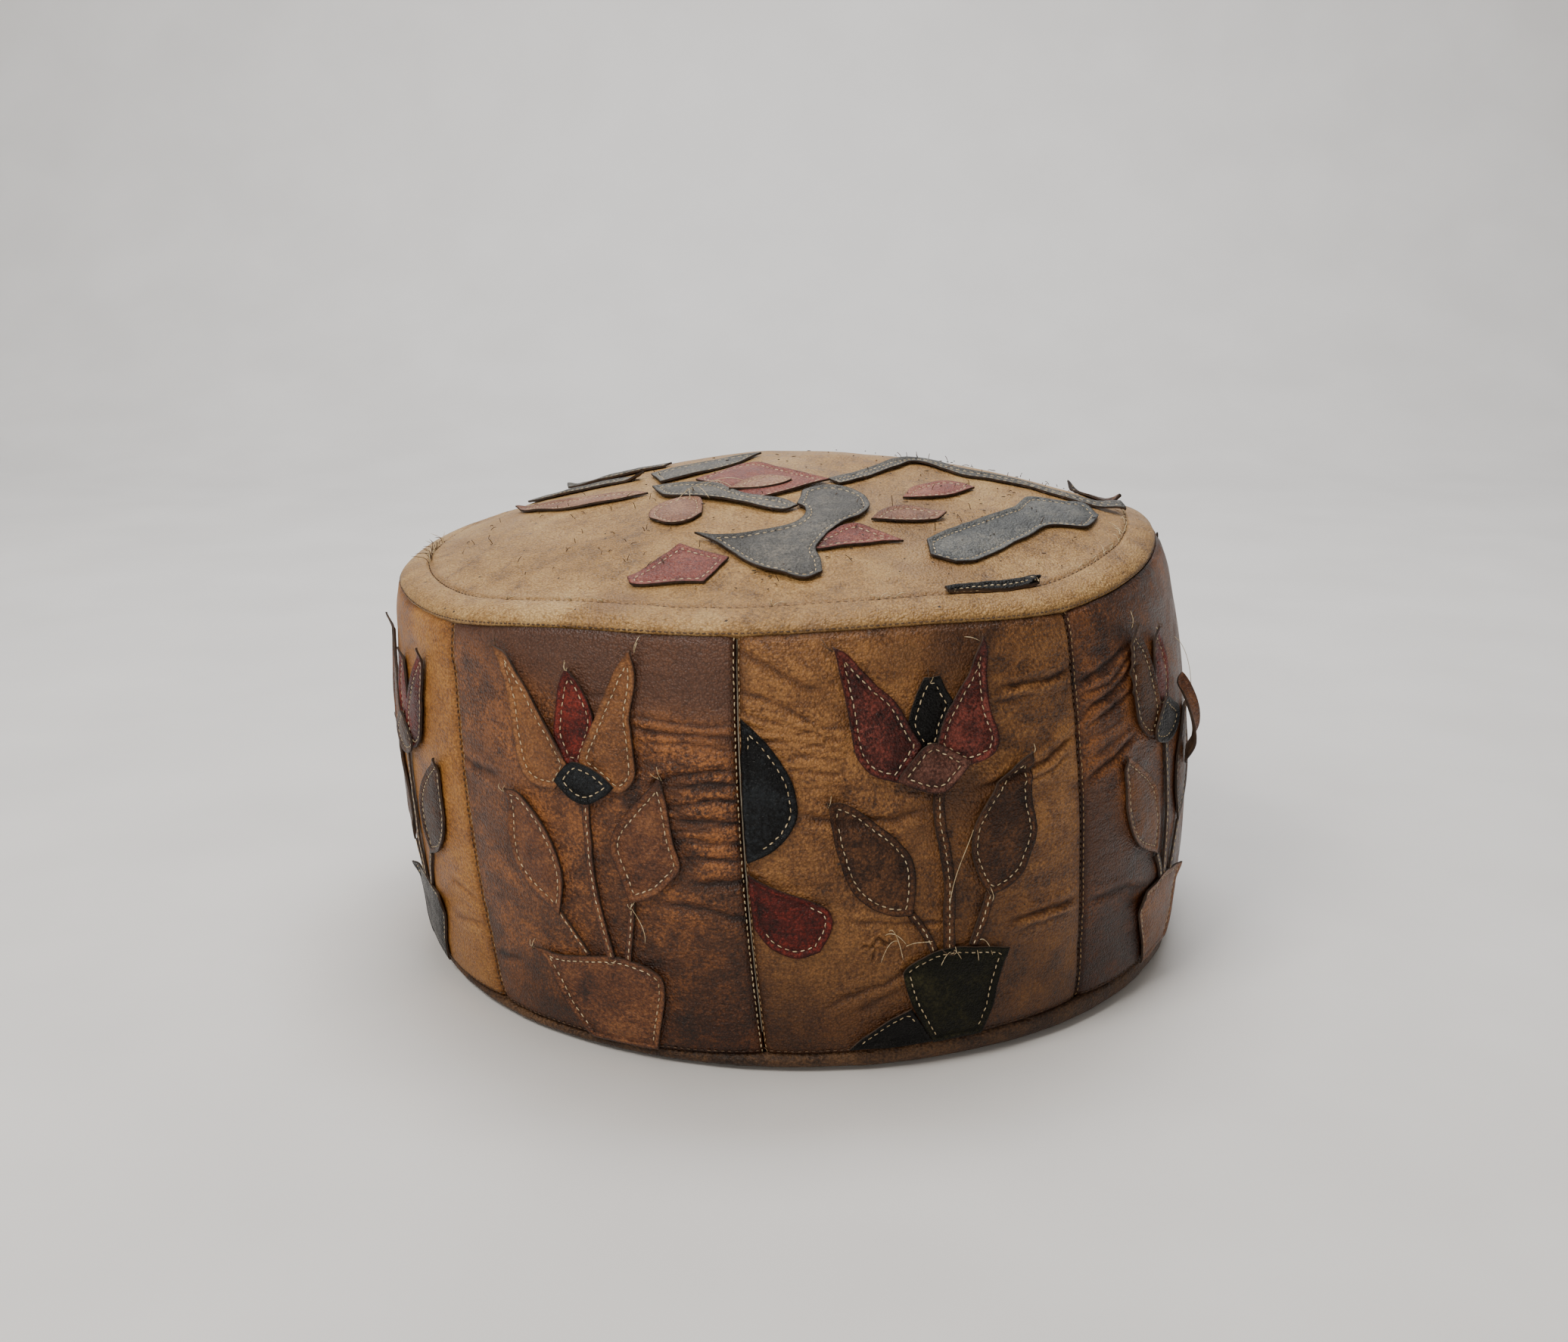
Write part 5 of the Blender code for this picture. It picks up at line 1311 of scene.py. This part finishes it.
def build_threads():
    rng = np.random.default_rng(21)
    pale, brown = [], []
    # Frayed ends at the tips of the pieces on the front panels.
    tips = [("b", -39, 204), ("b", 41, 206), ("b", 5, 194), ("b", 48, 146), ("b", -43, 131), ("b", -39, 48),
            ("c", -41, 206), ("c", 32, 206), ("c", -50, 133), ("c", 55, 148), ("c", 4, 188), ("b", 24, 80),
            ("c", 28, 77), ("b", 9, 49), ("c", 5, 52), ("d", -38, 194), ("d", -6, 184)]
    for letter, u, v in tips:
        for _ in range(3):
            du, dv = rng.normal(0, 1.9, 2)
            start = side_spot(letter, u, v - 3, 2.2)
            end = side_spot(letter, u + du * 1.5, min(v + dv + 2, 211), rng.uniform(2.0, 5.0))
            mid = side_spot(letter, u + du, min(v + dv * 0.3, 211), rng.uniform(3.0, 6.5))
            (pale if rng.random() < 0.6 else brown).append(bezier(start, mid, mid, end, 9))
    # A long loose thread from the right leaf across to the stem on panel c, and tangles near its pot.
    pale.append(side_thread("c", (20, 112, 1.9), (14, 100, 3.0), (8, 92, 2.8), (5, 76, 2.6)))
    for u, v, du, dv in ((-28, 64, 10, -6), (-22, 60, -9, -10), (-18, 57, 14, 1), (-26, 66, 6, -16), (2, 52, 9, -8),
                         (6, 50, -8, -9), (20, 54, 8, -10), (18, 50, 2, -12)):
        pale.append(side_thread("c", (u, v, 1.4), (u + du * 0.4, v + 3, 2.8), (u + du * 0.8, v + dv * 0.4, 2.4),
                                (u + du, v + dv, 1.6), count=12))
    pale.append(side_thread("b", (24, 78, 2.0), (29, 72, 3.4), (31, 66, 3.0), (29, 60, 2.0)))
    # The thread that hangs from the right-hand edge.
    pale.append(side_thread("d", (36, 166, 0.2), (39, 160, 5.5), (42, 146, 6.5), (43, 132, 5.0), count=20))
    # Tufts where the top's stitching has frayed at the left, and the re-sewn run at the right.
    for centre in (-81, -84, -88, -92, -79):
        for _ in range(7):
            a = centre + rng.normal(0, 1.3)
            s = 1.0 + rng.normal(0, 0.006)
            start = ring_spot(a, s, 0.2)
            lean = rng.normal(0, 3.0, 2)
            end = start + np.array([lean[0] - 1.5, lean[1], rng.uniform(3.5, 8.0)])
            mid = start + np.array([lean[0] * 0.2, lean[1] * 0.2, rng.uniform(2.0, 5.0)])
            (pale if rng.random() < 0.65 else brown).append(bezier(start, mid, mid, end, 8))
    for k in range(16):
        a = 47 + 2.5 * k + rng.normal(0, 0.5)
        for _ in range(2):
            start = ring_spot(a, 1.0 + rng.normal(0, 0.008), 0.5)
            end = ring_spot(a + rng.normal(1.2, 0.8), 1.0 + rng.normal(0, 0.025), 1.0)
            mid = (start + end) / 2 + np.array([0, 0, rng.uniform(1.0, 3.4)])
            pale.append(bezier(start, mid, mid, end, 8))
    for a in (-42, -30, -25, 12, 14, -2):
        start = ring_spot(a, 1.0, 0.4)
        for _ in range(3):
            end = start + np.array([rng.normal(0, 4.0), rng.normal(0, 2.0), rng.uniform(0.8, 3.0)])
            pale.append(bezier(start, (start + end) / 2 + (0, 0, 2.0), end, end + (0.5, 0, -0.6), 8))
    # The cream threads that trail over the bird's shoulder.
    for x, y, dx, dy in ((-58, -62, 12, -26), (-54, -60, 20, -14), (-60, -66, 4, -22), (-50, -64, 24, -4),
                         (-56, -70, -8, -16)):
        a = top_spot(x, y, 2.4)
        d = top_spot(x + dx, y + dy, 2.2)
        pale.append(bezier(a, a + (dx * 0.1 + 3, dy * 0.2, 5), d + (-dx * 0.3, 2, 5), d, 14))
    # Cut thread ends all round the top's pieces.
    for _ in range(150):
        a = rng.uniform(-100, 110)
        s = math.sqrt(rng.uniform(0.05, 0.85))
        start = ring_spot(a, s, 0.8)
        reach = rng.normal(0, 1.8, 3)
        end = start + reach + np.array([0, 0, abs(rng.normal(0, 1.2))])
        brown.append(bezier(start, (start + end) / 2 + (0, 0, 1.2), end, end, 6))
    strands("loose_threads_pale", pale, 0.17, THREAD)
    strands("loose_threads_brown", brown, 0.20, THREAD_DARK)


def build_scraps():
    """Flakes of dark leather that have crumbled onto the top."""
    rng = np.random.default_rng(33)
    points, faces = [], []
    step = len(BEAD_POINTS)
    for k in range(130):
        x = rng.normal(30, 75)
        y = rng.uniform(-195, 20)
        if math.hypot(x, y) > 200:
            x, y = x * 0.6, y * 0.6
        centre = top_spot(x, y, 1.0 if rng.random() < 0.5 else 2.2)
        turn = rng.uniform(0, math.tau)
        size = rng.uniform(0.8, 3.2)
        shape = BEAD_POINTS * (size, rng.uniform(0.5, 1.0), 0.5)
        c, s = math.cos(turn), math.sin(turn)
        shape = np.stack([shape[:, 0] * c - shape[:, 1] * s, shape[:, 0] * s + shape[:, 1] * c, shape[:, 2]], -1)
        points.append(shape + centre)
        faces += [tuple(i + k * step for i in f) for f in BEAD_FACES]
    make("crumbs", np.concatenate(points), faces, [CUT_EDGE])


# ---------------------------------------------------------------- stage


PHOTO_WIDTH = 2072
FOCAL_PIXELS = 2230
CAMERA_TILT = 14.87
CAMERA_PLACE = (-0.0067, -0.9795, 0.4065)
FLOOR_DROP = 0.0004


def build_stage():
    """A pale floor that curves up into a pale wall well behind the pouf."""
    bend_start, bend, reach = 1.7, 0.9, 7.0
    profile = [(-reach, 0.0), (0.0, 0.0), (bend_start, 0.0)]
    for k in range(1, 13):
        a = math.pi / 2 * k / 12
        profile.append((bend_start + bend * math.sin(a), bend * (1 - math.cos(a))))
    profile.append((bend_start + bend, reach))
    points = [(x, y, z - FLOOR_DROP) for y, z in profile for x in (-reach, reach)]
    sweep = bpy.data.meshes.new("floor")
    sweep.from_pydata(points, [], [(2 * k, 2 * k + 1, 2 * k + 3, 2 * k + 2) for k in range(len(profile) - 1)])
    sweep.polygons.foreach_set("use_smooth", np.ones(len(sweep.polygons), bool))
    floor = bpy.data.objects.new("floor", sweep)
    bpy.context.scene.collection.objects.link(floor)
    sweep.materials.append(plain("floor_paint", (0.60, 0.59, 0.58), (0.64, 0.63, 0.62), 0.7, 40, depth=0.00001))
    world = bpy.data.worlds.new("studio")
    bpy.context.scene.world = world
    world.use_nodes = True
    world.node_tree.nodes["Background"].inputs["Color"].default_value = (0.95, 0.88, 0.80, 1)
    world.node_tree.nodes["Background"].inputs["Strength"].default_value = 0.30
    for name, place, aim, size, power, colour in (
        ("key", (-1.15, -1.35, 2.15), (0, 0, 0.15), 0.9, 52, (1.0, 0.95, 0.88)),
        ("over", (0.15, 0.1, 2.5), (0, 0, 0.2), 1.3, 30, (1.0, 0.97, 0.94)),
        ("front", (-0.35, -2.1, 0.75), (0, 0, 0.15), 0.45, 9, (1.0, 0.93, 0.85)),
        ("wall", (0, 0.9, 2.9), (0, 2.6, 0.9), 1.6, 88, (0.95, 0.97, 1.0)),
    ):
        light = bpy.data.lights.new(name, "AREA")
        light.energy = power
        light.size = size
        light.color = colour
        lamp = bpy.data.objects.new(name, light)
        lamp.location = place
        lamp.rotation_euler = (Vector(aim) - Vector(place)).to_track_quat("-Z", "Y").to_euler()
        bpy.context.scene.collection.objects.link(lamp)
    camera_data = bpy.data.cameras.new("camera")
    camera_data.sensor_width = 36
    camera_data.lens = camera_data.sensor_width * FOCAL_PIXELS / PHOTO_WIDTH
    camera_data.clip_start = 0.05
    camera = bpy.data.objects.new("camera", camera_data)
    camera.location = CAMERA_PLACE
    camera.rotation_euler = (math.radians(90 - CAMERA_TILT), 0, 0)
    bpy.context.scene.collection.objects.link(camera)
    bpy.context.scene.camera = camera


stuffing()
for panel_letter in PANELS:
    side_panel(panel_letter)
top_piece()
base_rim()
build_applique()
build_seams()
build_zip()
build_loose_petal()
build_threads()
build_scraps()
build_stage()
